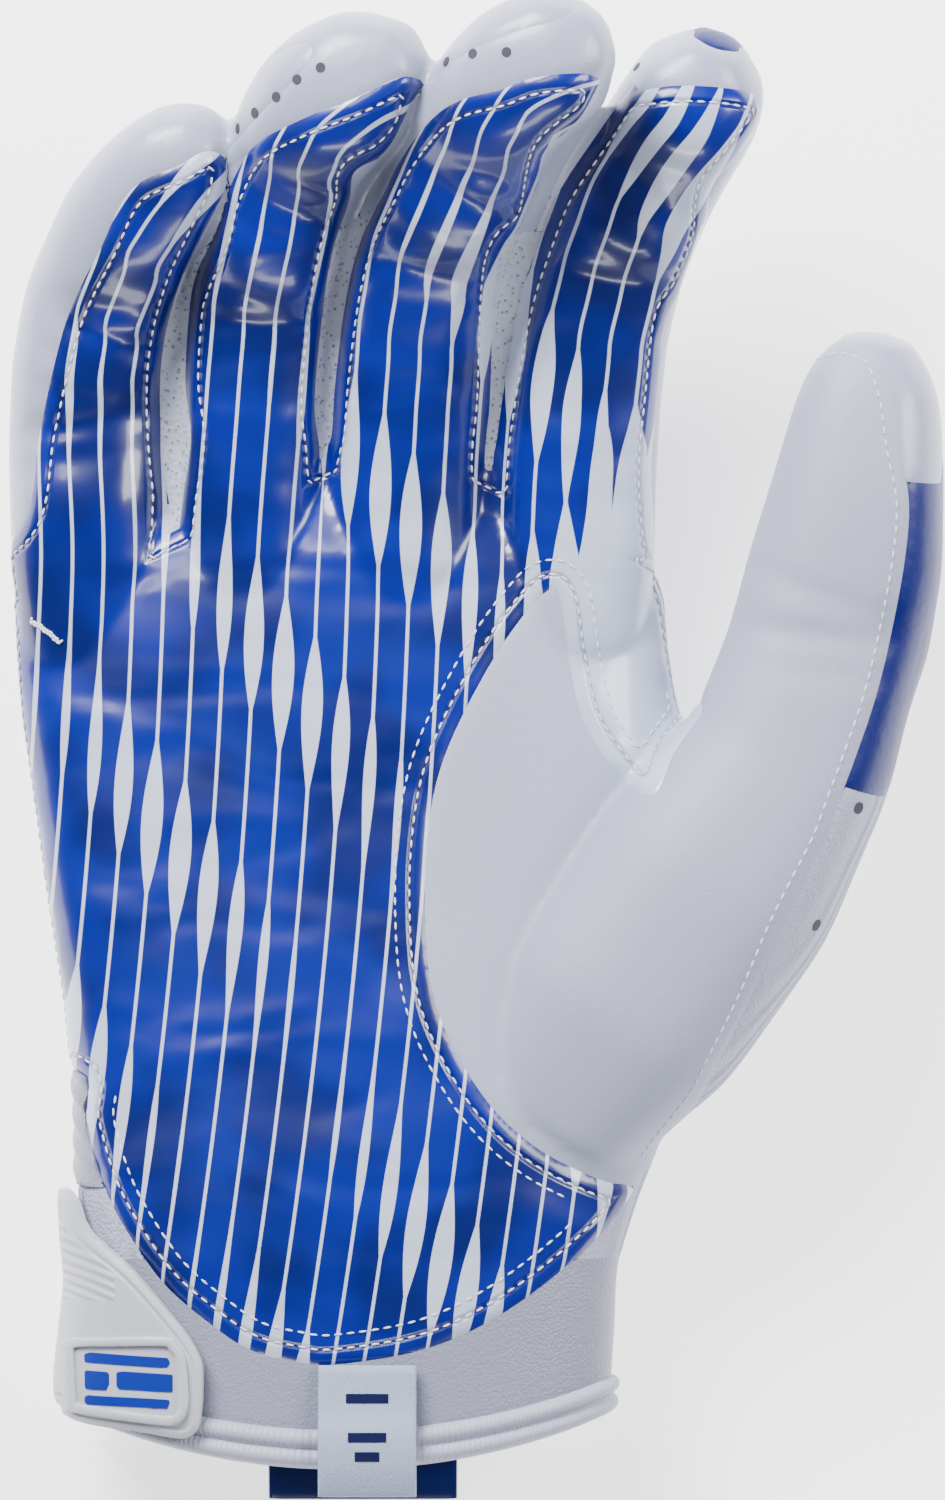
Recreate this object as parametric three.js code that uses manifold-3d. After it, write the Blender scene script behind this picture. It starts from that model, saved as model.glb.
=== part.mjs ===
// Right-hand football receiver glove, lying on its back with the palm up. Millimetres.
// X runs across the palm towards the thumb, Y towards the fingertips, Z up from the table.
// The origin is on the flat back, under the middle of the palm.
import * as THREE from 'three';
import { mergeVertices } from 'three/addons/utils/BufferGeometryUtils.js';
import Module from 'manifold-3d';

// Sizes of the palm and of its sheet materials
const palmWidth = 97;
const palmLength = 118;
const palmThickness = 31;
const wall = 1.5;
const seamGap = 0.3;
const seamHeight = 14;
const creaseDepth = 1.8;
const creaseHalfWidth = 2.6;
const flatBackDrop = 1.5;

// Sizes of the fingers and the thumb, along the curled centre line
const littleLength = 87.4;
const littleWidth = 24;
const littleThickness = 21;
const ringLength = 104.6;
const ringWidth = 22;
const ringThickness = 22.6;
const middleLength = 109.1;
const middleWidth = 23;
const middleThickness = 24;
const indexLength = 96.2;
const indexWidth = 23.5;
const indexThickness = 24;
const thumbLength = 126.3;
const thumbWidth = 28;
const thumbThickness = 27;

// Sizes of the knitted cuff and its binding
const cuffWidth = 80;
const cuffLength = 17.5;
const cuffThickness = 27;
const hemLength = 5.5;
const hemRise = 1.2;
const hemSink = 0.7;

// Sizes of the strap, its raised frame, the woven tag and the pull tab
const strapThickness = 1.8;
const badgeRise = 0.9;
const badgeWidth = 15.5;
const badgeLength = 11.5;
const badgeBorder = 2;
const tagWidth = 14.5;
const tagThickness = 1.4;
const tagOverhang = 4.2;
const tabWidth = 28;
const tabThickness = 1.8;
const tabOverhang = 5;

const wristY = -0.534 * palmLength;
const cuffLift = hemRise + seamGap + strapThickness;

// Slices across the palm: along is a share of palmLength from the origin, left and right of
// palmWidth, top and cup of palmThickness, and bow lifts the middle of a slice towards the fingers.
const palmSlices = [
  { along: -0.534, left: -0.410, right: 0.410, top: 1.00, cup: 0.00, bow: 0.00 },
  { along: -0.461, left: -0.416, right: 0.439, top: 1.03, cup: 0.02, bow: 0.00 },
  { along: -0.336, left: -0.420, right: 0.500, top: 1.03, cup: 0.05, bow: 0.00 },
  { along: -0.212, left: -0.434, right: 0.540, top: 1.02, cup: 0.09, bow: 0.00 },
  { along: -0.087, left: -0.459, right: 0.545, top: 0.99, cup: 0.11, bow: 0.00 },
  { along: 0.037, left: -0.480, right: 0.530, top: 0.95, cup: 0.10, bow: 0.00 },
  { along: 0.150, left: -0.502, right: 0.500, top: 0.91, cup: 0.07, bow: 0.01 },
  { along: 0.235, left: -0.512, right: 0.485, top: 0.86, cup: 0.03, bow: 0.03 },
  { along: 0.290, left: -0.516, right: 0.480, top: 0.80, cup: 0.00, bow: 0.08 },
  { along: 0.330, left: -0.500, right: 0.465, top: 0.68, cup: 0.00, bow: 0.11 },
];

// Slices across the cuff: below is a share of cuffLength under the wrist, left and right of
// cuffWidth, top of cuffThickness above the lifted underside, and bow of cuffLength.
const cuffSlices = [
  { below: 1.45, left: -0.508, right: 0.478, top: 0.98, bow: -0.43 },
  { below: 1.00, left: -0.512, right: 0.484, top: 1.00, bow: -0.43 },
  { below: 0.55, left: -0.500, right: 0.490, top: 1.01, bow: -0.22 },
  { below: 0.15, left: -0.490, right: 0.492, top: 1.03, bow: 0.00 },
];

// Fingers: at is a share of the length along the centre line; x, y and z are shares of the length
// from the root; wide and thick are shares of the width and thickness; left and right are where
// the palm-side leather ends, as shares of half the width, past 1 where it wraps over the side.
const fingers = {
  little: {
    length: littleLength, width: littleWidth, thickness: littleThickness,
    root: { across: -0.396, along: 0.225, height: 0.452 },
    creases: [0.44, 0.58],
    rows: [
      { at: 0.00, x: 0.000, y: 0.000, z: 0.000, wide: 0.99, thick: 1.00, left: 1.15, right: 1.10 },
      { at: 0.15, x: -0.003, y: 0.153, z: 0.006, wide: 1.01, thick: 1.00, left: 1.10, right: 1.10 },
      { at: 0.34, x: -0.009, y: 0.338, z: 0.023, wide: 0.99, thick: 0.95, left: 0.74, right: 1.05 },
      { at: 0.48, x: -0.005, y: 0.473, z: 0.051, wide: 0.96, thick: 0.90, left: 0.57, right: 0.96 },
      { at: 0.59, x: 0.014, y: 0.581, z: 0.092, wide: 0.93, thick: 0.89, left: 0.50, right: 0.96 },
      { at: 0.75, x: 0.071, y: 0.708, z: 0.160, wide: 0.89, thick: 0.86, left: 0.42, right: 1.05 },
      { at: 0.84, x: 0.116, y: 0.767, z: 0.206, wide: 0.84, thick: 0.84, left: 0.29, right: 1.05 },
      { at: 0.91, x: 0.161, y: 0.816, z: 0.246, wide: 0.74, thick: 0.78, left: 0.05, right: 0.90 },
      { at: 0.97, x: 0.197, y: 0.849, z: 0.280, wide: 0.56, thick: 0.62, left: -0.20, right: 0.70 },
      { at: 1.00, x: 0.211, y: 0.863, z: 0.298, wide: 0.30, thick: 0.38, left: -0.30, right: 0.60 },
    ],
  },
  ring: {
    length: ringLength, width: ringWidth, thickness: ringThickness,
    root: { across: -0.165, along: 0.225, height: 0.452 },
    creases: [0.52, 0.71],
    rows: [
      { at: 0.00, x: 0.000, y: 0.000, z: 0.000, wide: 1.08, thick: 1.02, left: 1.10, right: 1.10 },
      { at: 0.17, x: 0.006, y: 0.170, z: 0.010, wide: 1.02, thick: 1.00, left: 0.92, right: 0.94 },
      { at: 0.30, x: 0.012, y: 0.297, z: 0.024, wide: 1.00, thick: 0.97, left: 0.90, right: 0.90 },
      { at: 0.40, x: 0.020, y: 0.395, z: 0.048, wide: 0.97, thick: 0.93, left: 0.97, right: 0.90 },
      { at: 0.50, x: 0.030, y: 0.492, z: 0.081, wide: 0.95, thick: 0.90, left: 1.05, right: 0.90 },
      { at: 0.69, x: 0.067, y: 0.648, z: 0.172, wide: 0.88, thick: 0.90, left: 0.92, right: 0.90 },
      { at: 0.77, x: 0.090, y: 0.712, z: 0.220, wide: 0.96, thick: 0.90, left: 0.25, right: 0.92 },
      { at: 0.85, x: 0.129, y: 0.759, z: 0.263, wide: 1.03, thick: 0.88, left: -0.05, right: 0.94 },
      { at: 0.93, x: 0.187, y: 0.797, z: 0.307, wide: 0.93, thick: 0.79, left: -0.22, right: 1.00 },
      { at: 1.00, x: 0.242, y: 0.821, z: 0.339, wide: 0.42, thick: 0.40, left: -0.40, right: 0.70 },
    ],
  },
  middle: {
    length: middleLength, width: middleWidth, thickness: middleThickness,
    root: { across: 0.082, along: 0.238, height: 0.452 },
    creases: [0.57, 0.71],
    rows: [
      { at: 0.00, x: 0.000, y: 0.000, z: 0.000, wide: 1.03, thick: 1.00, left: 1.10, right: 1.10 },
      { at: 0.19, x: 0.001, y: 0.190, z: 0.014, wide: 1.03, thick: 1.00, left: 0.97, right: 1.05 },
      { at: 0.33, x: 0.008, y: 0.325, z: 0.041, wide: 1.01, thick: 0.94, left: 0.98, right: 1.05 },
      { at: 0.44, x: 0.018, y: 0.431, z: 0.083, wide: 0.99, thick: 0.90, left: 1.05, right: 1.05 },
      { at: 0.55, x: 0.037, y: 0.522, z: 0.138, wide: 0.96, thick: 0.88, left: 1.05, right: 0.97 },
      { at: 0.71, x: 0.091, y: 0.641, z: 0.234, wide: 0.92, thick: 0.85, left: 0.95, right: 0.97 },
      { at: 0.81, x: 0.128, y: 0.709, z: 0.298, wide: 0.94, thick: 0.85, left: 0.20, right: 0.94 },
      { at: 0.89, x: 0.170, y: 0.750, z: 0.339, wide: 0.96, thick: 0.82, left: -0.12, right: 0.94 },
      { at: 0.96, x: 0.228, y: 0.773, z: 0.381, wide: 0.82, thick: 0.68, left: -0.44, right: 0.95 },
      { at: 1.00, x: 0.262, y: 0.781, z: 0.400, wide: 0.37, thick: 0.29, left: -0.60, right: 0.70 },
    ],
  },
  index: {
    length: indexLength, width: indexWidth, thickness: indexThickness,
    root: { across: 0.341, along: 0.238, height: 0.452 },
    creases: [0.585, 0.73],
    rows: [
      { at: 0.00, x: 0.000, y: 0.000, z: 0.000, wide: 1.03, thick: 1.00, left: 1.10, right: 1.10 },
      { at: 0.23, x: 0.004, y: 0.231, z: 0.016, wide: 1.03, thick: 0.98, left: 1.05, right: 0.95 },
      { at: 0.37, x: 0.013, y: 0.368, z: 0.036, wide: 1.01, thick: 0.94, left: 1.05, right: 0.94 },
      { at: 0.49, x: 0.027, y: 0.482, z: 0.068, wide: 0.99, thick: 0.90, left: 0.97, right: 0.98 },
      { at: 0.60, x: 0.054, y: 0.583, z: 0.109, wide: 0.96, thick: 0.88, left: 0.97, right: 1.05 },
      { at: 0.72, x: 0.093, y: 0.679, z: 0.161, wide: 0.95, thick: 0.86, left: 1.05, right: 1.05 },
      { at: 0.81, x: 0.136, y: 0.746, z: 0.203, wide: 0.89, thick: 0.83, left: 1.05, right: 1.05 },
      { at: 0.88, x: 0.173, y: 0.802, z: 0.239, wide: 0.89, thick: 0.82, left: 1.05, right: 1.05 },
      { at: 0.95, x: 0.196, y: 0.856, z: 0.275, wide: 0.80, thick: 0.72, left: 1.00, right: 1.00 },
      { at: 1.00, x: 0.209, y: 0.893, z: 0.301, wide: 0.35, thick: 0.38, left: 1.00, right: 1.00 },
    ],
  },
  thumb: {
    length: thumbLength, width: thumbWidth, thickness: thumbThickness,
    root: { across: 0.304, along: -0.352, height: 0.548 },
    creases: [0.66],
    rows: [
      { at: 0.00, x: 0.000, y: 0.000, z: 0.000, wide: 1.11, thick: 1.11, left: 1.20, right: 0.95 },
      { at: 0.16, x: 0.091, y: 0.129, z: 0.020, wide: 1.35, thick: 1.35, left: 1.20, right: 0.86 },
      { at: 0.34, x: 0.196, y: 0.279, z: 0.040, wide: 1.35, thick: 1.33, left: 1.20, right: 0.64 },
      { at: 0.49, x: 0.276, y: 0.405, z: 0.055, wide: 1.11, thick: 1.15, left: 1.20, right: 0.54 },
      { at: 0.63, x: 0.316, y: 0.532, z: 0.071, wide: 1.01, thick: 1.02, left: 1.20, right: 0.64 },
      { at: 0.74, x: 0.344, y: 0.640, z: 0.083, wide: 1.01, thick: 0.96, left: 1.20, right: 0.58 },
      { at: 0.85, x: 0.360, y: 0.746, z: 0.095, wide: 0.87, thick: 0.89, left: 1.20, right: 0.50 },
      { at: 0.92, x: 0.369, y: 0.822, z: 0.103, wide: 0.76, thick: 0.81, left: 1.20, right: 0.33 },
      { at: 0.97, x: 0.374, y: 0.868, z: 0.109, wide: 0.63, thick: 0.70, left: 1.20, right: 0.10 },
      { at: 1.00, x: 0.378, y: 0.896, z: 0.113, wide: 0.37, thick: 0.44, left: 1.20, right: -0.10 },
    ],
  },
};

// Where the palm-side leather stops short of each tip, and where the tip pieces start on the back
const leatherEnd = { little: 0.955, ring: 0.965, middle: 0.97, index: 0.955, thumb: 0.965 };
const capStart = 0.12;
const gussetEnd = 0.62;
const gussetReach = 0.7;
const thumbBackStart = 0.5;
const thumbTipStart = 0.85;
const indexBackReach = 0.85;
const pressStart = 0.55;
const indexBackTop = -0.2;
const tipInset = 1.5;

// Lowest point between two fingers, as a share of palmLength from the origin
const crotches = [
  { left: 'little', right: 'ring', along: 0.374 },
  { left: 'ring', right: 'middle', along: 0.461 },
  { left: 'middle', right: 'index', along: 0.448 },
];

// Lower edge of the palm leather from the little-finger side to the thumb side, and the seam that
// goes on from there round the ball of the thumb: shares of palmWidth and palmLength.
const heelEdge = [
  { across: -0.416, along: -0.299 },
  { across: -0.402, along: -0.361 },
  { across: -0.379, along: -0.430 },
  { across: -0.348, along: -0.486 },
  { across: -0.288, along: -0.561 },
  { across: -0.220, along: -0.610 },
  { across: -0.152, along: -0.647 },
  { across: -0.030, along: -0.666 },
  { across: 0.076, along: -0.654 },
  { across: 0.152, along: -0.636 },
  { across: 0.227, along: -0.604 },
  { across: 0.303, along: -0.561 },
  { across: 0.379, along: -0.504 },
  { across: 0.439, along: -0.448 },
];
const thumbSeam = [
  { across: 0.379, along: -0.436 },
  { across: 0.288, along: -0.398 },
  { across: 0.212, along: -0.342 },
  { across: 0.152, along: -0.262 },
  { across: 0.122, along: -0.186 },
  { across: 0.113, along: -0.087 },
  { across: 0.119, along: 0.000 },
  { across: 0.136, along: 0.075 },
  { across: 0.174, along: 0.149 },
  { across: 0.235, along: 0.236 },
  { across: 0.296, along: 0.297 },
  { across: 0.319, along: 0.286 },
  { across: 0.330, along: 0.225 },
  { across: 0.348, along: 0.149 },
  { across: 0.379, along: 0.100 },
  { across: 0.425, along: 0.056 },
  { across: 0.455, along: 0.043 },
  { across: 0.473, along: 0.063 },
  { across: 0.488, along: 0.093 },
  { across: 0.531, along: 0.143 },
];

// Outer edge of the web between the palm and the index finger: its height is a share of palmLength,
// its place a share of palmWidth past the index finger's root; clear is past the sides of the hand
const webEdge = { along: 0.336, past: 0.122, clear: 0.65 };

// Outer edge of the thumb leather on the heel of the hand
const thenarEdge = [
  { across: 0.700, along: 0.000 },
  { across: 0.682, along: -0.075 },
  { across: 0.652, along: -0.125 },
  { across: 0.606, along: -0.212 },
  { across: 0.561, along: -0.287 },
  { across: 0.531, along: -0.336 },
  { across: 0.470, along: -0.399 },
];

// Free end of the strap on the palm side. Then the strap's band across the back, the span of the
// gathered side, and the middle of the raised frame, across as a share of cuffWidth.
const strapEnd = [
  { across: -0.650, along: -0.436 },
  { across: -0.416, along: -0.448 },
  { across: -0.379, along: -0.498 },
  { across: -0.319, along: -0.548 },
  { across: -0.251, along: -0.617 },
  { across: -0.219, along: -0.673 },
  { across: -0.222, along: -0.729 },
  { across: -0.251, along: -0.755 },
  { across: -0.379, along: -0.737 },
  { across: -0.422, along: -0.710 },
  { across: -0.650, along: -0.700 },
];
const strapBack = { right: 0.23, top: -0.55, bottom: -0.66, height: 9 };
const gatherSpan = { right: -0.36, top: -0.30, bottom: -0.445, low: 5, high: 27, pleats: 5 };
const badgePlace = { across: -0.4, along: -0.68 };
const tagAcross = 0.027;
const tabAcross = 0.02;

// Counts of sides and steps, and how far a cutting shape runs past what it cuts
const handSides = 22;
const hollowHandSides = 16;
const fingerSides = 12;
const hollowFingerSides = 8;
const roundness = 0.8;
const past = 3;
const high = 90;
const weldDistance = 1e-5;

const wasm = await Module();
wasm.setup();

// Solid from a closed geometry, and back again
function solid(geometry) {
  const bare = geometry.clone();
  bare.deleteAttribute('normal');
  bare.deleteAttribute('uv');
  const merged = mergeVertices(bare, weldDistance);
  const vertProperties = new Float32Array(merged.attributes.position.array);
  const triVerts = new Uint32Array(merged.index.array);
  return new wasm.Manifold(new wasm.Mesh({ numProp: 3, vertProperties, triVerts }));
}

function geometryOf(manifold) {
  const mesh = manifold.getMesh();
  const geometry = new THREE.BufferGeometry();
  geometry.setAttribute('position', new THREE.BufferAttribute(new Float32Array(mesh.vertProperties), 3));
  geometry.setIndex(new THREE.BufferAttribute(new Uint32Array(mesh.triVerts), 1));
  return geometry;
}

// Largest connected body of a solid, without the slivers that a cut can leave
function mainBody(manifold) {
  const bodies = manifold.decompose();
  return bodies.reduce((best, body) => (body.volume() > best.volume() ? body : best));
}

// Closed loft through rings of equal count, with flat ends; its faces point outwards
function loftFaces(rings) {
  const count = rings[0].length;
  const positions = rings.flat().flatMap((point) => [point.x, point.y, point.z]);
  const index = [];
  for (let ring = 0; ring + 1 < rings.length; ring += 1) {
    for (let side = 0; side < count; side += 1) {
      const a = ring * count + side;
      const b = ring * count + (side + 1) % count;
      index.push(a, b + count, b, a, a + count, b + count);
    }
  }
  const last = (rings.length - 1) * count;
  for (let side = 1; side + 1 < count; side += 1) {
    index.push(0, side, side + 1);
    index.push(last, last + side + 1, last + side);
  }
  const geometry = new THREE.BufferGeometry();
  geometry.setAttribute('position', new THREE.Float32BufferAttribute(positions, 3));
  geometry.setIndex(index);
  return solid(geometry);
}

function loft(rings) {
  const body = loftFaces(rings);
  return body.volume() > 0 ? body : loftFaces([...rings].reverse());
}

// Upright block over an outline of {x, y} points, from one height to another
function prism(outline, low, top) {
  const shape = new THREE.Shape(outline.map((point) => new THREE.Vector2(point.x, point.y)));
  const geometry = new THREE.ExtrudeGeometry(shape, { depth: top - low, bevelEnabled: false });
  geometry.translate(0, 0, low);
  return solid(geometry);
}

function block(left, right, bottom, top, low, upper) {
  const geometry = new THREE.BoxGeometry(right - left, top - bottom, upper - low);
  geometry.translate((left + right) / 2, (bottom + top) / 2, (low + upper) / 2);
  return solid(geometry);
}

// Value of a column between the rows of a table that is sorted by the column named key
function between(rows, key, at, column) {
  const next = rows.findIndex((row) => row[key] >= at);
  if (next === 0) return rows[0][column];
  if (next < 0) return rows[rows.length - 1][column];
  const low = rows[next - 1];
  const share = (at - low[key]) / (rows[next][key] - low[key]);
  return THREE.MathUtils.lerp(low[column], rows[next][column], share);
}

// Unit outline of a section: a rounded box between an ellipse and a rectangle
function sectionPoints(sides) {
  return Array.from({ length: sides }, (unused, step) => {
    const angle = (2 * Math.PI * step) / sides;
    const across = Math.sign(Math.cos(angle)) * Math.abs(Math.cos(angle)) ** roundness;
    const rise = Math.sign(Math.sin(angle)) * Math.abs(Math.sin(angle)) ** roundness;
    return { across, rise };
  });
}

// Palm and cuff slices in millimetres, from the open end to the fingers
const slices = [
  ...cuffSlices.map((row) => ({
    y: wristY - row.below * cuffLength,
    left: row.left * cuffWidth,
    right: row.right * cuffWidth,
    top: cuffLift + row.top * cuffThickness,
    cup: 0,
    bow: row.bow * cuffLength,
    floor: cuffLift,
  })),
  ...palmSlices.map((row, step) => ({
    y: row.along * palmLength,
    left: row.left * palmWidth,
    right: row.right * palmWidth,
    top: row.top * palmThickness,
    cup: row.cup * palmThickness,
    bow: row.bow * palmLength,
    floor: step === 0 ? cuffLift : 0,
  })),
];

function handSlice(y) {
  const value = (column) => between(slices, 'y', y, column);
  return {
    left: value('left'), right: value('right'), top: value('top'),
    cup: value('cup'), bow: value('bow'), floor: value('floor'),
  };
}

// Ring of points round the hand at one slice, grown outwards by a distance
function handRing(y, grow, sides) {
  const slice = handSlice(y);
  const middle = (slice.left + slice.right) / 2;
  const half = (slice.right - slice.left) / 2 + grow;
  const centre = (slice.top + slice.floor - flatBackDrop) / 2;
  const rise = (slice.top - slice.floor + flatBackDrop) / 2 + grow;
  return sectionPoints(sides).map((point) => {
    const x = middle + half * point.across;
    const cup = point.rise > 0 ? slice.cup * (1 - point.across ** 2) * point.rise : 0;
    const z = Math.max(centre + rise * point.rise - cup, slice.floor - grow, 0);
    return new THREE.Vector3(x, handY(y, x), z);
  });
}

function handTube(stations, growOf, sides = handSides) {
  return loft(stations.map((y) => handRing(y, growOf(y), sides)));
}

const handStations = slices.map((slice) => slice.y);
const openEnd = handStations[0];
const handEnd = handStations[handStations.length - 1];

// Top of the hand on a line along it, without the cup of the palm
function handTop(y, across) {
  const slice = handSlice(y);
  const middle = (slice.left + slice.right) / 2;
  const half = (slice.right - slice.left) / 2;
  const share = Math.min(Math.abs(across - middle) / half, 1);
  const centre = (slice.top + slice.floor - flatBackDrop) / 2;
  const rise = (slice.top - slice.floor + flatBackDrop) / 2;
  return centre + rise * (1 - share ** (2 / roundness)) ** (roundness / 2);
}

// Bowed y of a slice at one place across the hand
function handY(y, across) {
  const slice = handSlice(y);
  const share = (across - (slice.left + slice.right) / 2) / ((slice.right - slice.left) / 2);
  return y + slice.bow * (1 - share ** 2);
}

// Centre of a finger at a share of its length
function fingerPoint(finger, at) {
  const offset = (column) => between(finger.rows, 'at', at, column) * finger.length;
  return new THREE.Vector3(
    finger.root.across * palmWidth + offset('x'),
    finger.root.along * palmLength + offset('y'),
    finger.root.height * palmThickness + offset('z'),
  );
}

// Centre, directions and half sizes of a finger at a share of its length; past 1 it runs straight on
function fingerFrame(finger, at) {
  const reach = 0.05;
  const ahead = fingerPoint(finger, Math.min(at + reach, 1));
  const forward = ahead.sub(fingerPoint(finger, Math.max(at - reach, 0))).normalize();
  const side = new THREE.Vector3().crossVectors(forward, new THREE.Vector3(0, 0, 1)).normalize();
  const up = new THREE.Vector3().crossVectors(side, forward);
  const nearest = Math.min(...finger.creases.map((crease) => Math.abs(crease - at)));
  const fold = Math.max(1 - (nearest * finger.length) / creaseHalfWidth, 0);
  const beyond = Math.max(at - 1, 0) * finger.length;
  return {
    centre: fingerPoint(finger, at).addScaledVector(forward, beyond),
    side,
    up,
    halfWidth: (between(finger.rows, 'at', at, 'wide') * finger.width) / 2,
    halfThickness: (between(finger.rows, 'at', at, 'thick') * finger.thickness) / 2,
    left: between(finger.rows, 'at', at, 'left'),
    right: between(finger.rows, 'at', at, 'right'),
    crease: creaseDepth * fold,
  };
}

function framePoint(frame, across, rise) {
  return frame.centre.clone().addScaledVector(frame.side, across).addScaledVector(frame.up, rise);
}

// Shares along a finger where a loft has a ring: its rows, its creases and the two ends;
// the hollow inside is coarser, with every second row and no creases
function fingerStations(finger, from, to, { creased = false, coarse = false }) {
  const half = creaseHalfWidth / finger.length;
  const folds = creased ? finger.creases.flatMap((at) => [at - half, at, at + half]) : [];
  const clear = (at) => folds.every((fold) => Math.abs(fold - at) > half);
  const kept = finger.rows.filter((row, step) => !coarse || step % 2 === 1);
  const rows = kept.map((row) => row.at).filter(clear);
  const margin = creased ? half / 2 : 0;
  const inside = [...rows, ...folds].filter((at) => at > from + margin && at < to - margin);
  return [from, ...inside.sort((a, b) => a - b), to];
}

// Round tube of a finger between two shares of its length, grown by a distance
function fingerTube(finger, from, to, grow, hollow = false) {
  const sides = hollow ? hollowFingerSides : fingerSides;
  const rings = fingerStations(finger, from, to, { creased: !hollow, coarse: hollow }).map((at) => {
    const frame = fingerFrame(finger, at);
    return sectionPoints(sides).map((point) => {
      const dip = hollow ? 0 : Math.max(point.rise, 0) * frame.crease;
      const rise = (frame.halfThickness + grow) * point.rise - dip;
      return framePoint(frame, (frame.halfWidth + grow) * point.across, rise);
    });
  });
  return loft(rings);
}

// Square-edged cutter that follows a finger; edges gives its sides in the finger's own frame
function fingerCutter(finger, from, to, edges) {
  const rings = fingerStations(finger, from, to, {}).map((at) => {
    const frame = fingerFrame(finger, at);
    const box = edges(frame);
    return [
      framePoint(frame, box.left, box.low),
      framePoint(frame, box.right, box.low),
      framePoint(frame, box.right, box.high),
      framePoint(frame, box.left, box.high),
    ];
  });
  return loft(rings);
}

// Outline in millimetres from shares of the palm
function palmPoints(rows) {
  return rows.map((row) => ({ x: row.across * palmWidth, y: row.along * palmLength }));
}

// The same outline pushed outwards by a distance; points run counterclockwise, and a sharp corner
// moves no more than the distance over sharpest
function widened(outline, distance) {
  const sharpest = 0.5;
  const count = outline.length;
  return outline.map((point, step) => {
    const before = outline[(step + count - 1) % count];
    const after = outline[(step + 1) % count];
    const first = new THREE.Vector2(point.y - before.y, before.x - point.x).normalize();
    const second = new THREE.Vector2(after.y - point.y, point.x - after.x).normalize();
    const shift = first.clone().add(second).normalize();
    const reach = distance / Math.max(shift.dot(first), sharpest);
    return { x: point.x + shift.x * reach, y: point.y + shift.y * reach };
  });
}

// Outside and inside of the whole hand; the little finger's tip presses into the ring finger
function handForm(inset, hollow) {
  const start = hollow ? openEnd - past : openEnd;
  const rows = handStations.slice(1, -1).filter((y, step) => !hollow || step % 2 === 0);
  const stations = [start, ...rows, handEnd - inset];
  const tubes = Object.entries(fingers).map(([name, finger]) => {
    const end = 1 - (tipInset * inset) / finger.length;
    const tube = fingerTube(finger, inset / finger.length, end, -inset, hollow);
    if (name !== 'ring') return tube;
    return tube.subtract(fingerTube(fingers.little, pressStart, 1, seamGap + inset));
  });
  const hand = handTube(stations, () => -inset, hollow ? hollowHandSides : handSides);
  return tubes.reduce((whole, tube) => whole.add(tube), hand);
}

// Palm leather: the palm down to the heel edge, and a strip up each finger
function palmRegion(grow) {
  const far = webEdge.clear * palmWidth;
  const knuckles = crotches.map((crotch) => {
    const left = fingers[crotch.left];
    const right = fingers[crotch.right];
    const gapLeft = left.root.across * palmWidth + left.width / 2;
    const gapRight = right.root.across * palmWidth - right.width / 2;
    return { x: (gapLeft + gapRight) / 2, y: crotch.along * palmLength };
  });
  const outer = webEdge.along * palmLength;
  const outline = [
    { x: -far, y: heelEdge[0].along * palmLength },
    ...palmPoints(heelEdge),
    ...palmPoints(thumbSeam),
    { x: far, y: thumbSeam[thumbSeam.length - 1].along * palmLength },
    { x: far, y: outer },
    { x: (fingers.index.root.across + webEdge.past) * palmWidth, y: outer },
    ...knuckles.reverse(),
    { x: -far, y: outer },
  ];
  let region = prism(widened(outline, grow), seamHeight - grow, high);
  for (const name of ['little', 'ring', 'middle', 'index']) {
    const finger = fingers[name];
    region = region.add(fingerCutter(finger, 0, leatherEnd[name] + grow / finger.length, (frame) => ({
      left: -frame.left * frame.halfWidth - grow,
      right: frame.right * frame.halfWidth + grow,
      low: -grow,
      high: frame.halfThickness + past,
    })));
  }
  return region;
}

// Thumb leather: the ball of the thumb and the palm side of the thumb
function thumbRegion(grow) {
  const outline = [...palmPoints(thumbSeam), ...palmPoints(thenarEdge)].reverse();
  const ball = prism(widened(outline, grow), fingers.thumb.root.height * palmThickness, high);
  const end = leatherEnd.thumb + grow / thumbLength;
  return ball.add(fingerCutter(fingers.thumb, 0, end, (frame) => ({
    left: -frame.left * frame.halfWidth,
    right: frame.right * frame.halfWidth + grow,
    low: -grow,
    high: frame.halfThickness + past,
  })));
}

// Mesh between two fingers: both facing sides and the web at their root
function gussetRegion(crotch, grow) {
  const shares = [capStart, 0.2, 0.34, 0.48, gussetEnd];
  const edge = (finger, sign) => shares.map((at) => {
    const frame = fingerFrame(finger, at);
    return framePoint(frame, sign * gussetReach * frame.halfWidth, 0);
  });
  const outline = [...edge(fingers[crotch.left], 1), ...edge(fingers[crotch.right], -1).reverse()];
  return prism(widened(outline.reverse(), grow), 2 * wall - grow, high);
}

function thumbTipRegion(grow) {
  return fingerTube(fingers.thumb, thumbTipStart - grow / thumbLength, 1 + past / thumbLength, past);
}

function thumbBackRegion(grow) {
  return fingerTube(fingers.thumb, thumbBackStart - grow / thumbLength, thumbTipStart, past);
}

// Blue back of the index finger, up over its tip
function indexBackRegion(grow) {
  const from = capStart - grow / indexLength;
  return fingerCutter(fingers.index, from, 1 + past / indexLength, (frame) => ({
    left: -indexBackReach * frame.halfWidth - grow,
    right: indexBackReach * frame.halfWidth + grow,
    low: -frame.halfThickness - past,
    high: indexBackTop * frame.halfThickness + grow,
  }));
}

// Sides, tip and back of one finger
function capRegion(name, grow) {
  const finger = fingers[name];
  const from = capStart - grow / finger.length;
  return fingerTube(finger, from, 1 + past / finger.length, grow);
}

// Gathered side between the palm leather and the strap
function gatherRegion(grow) {
  const right = gatherSpan.right * palmWidth + grow;
  const bottom = gatherSpan.bottom * palmLength - grow;
  const top = gatherSpan.top * palmLength + grow;
  return block(-palmWidth, right, bottom, top, gatherSpan.low - grow, gatherSpan.high + grow);
}

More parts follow.
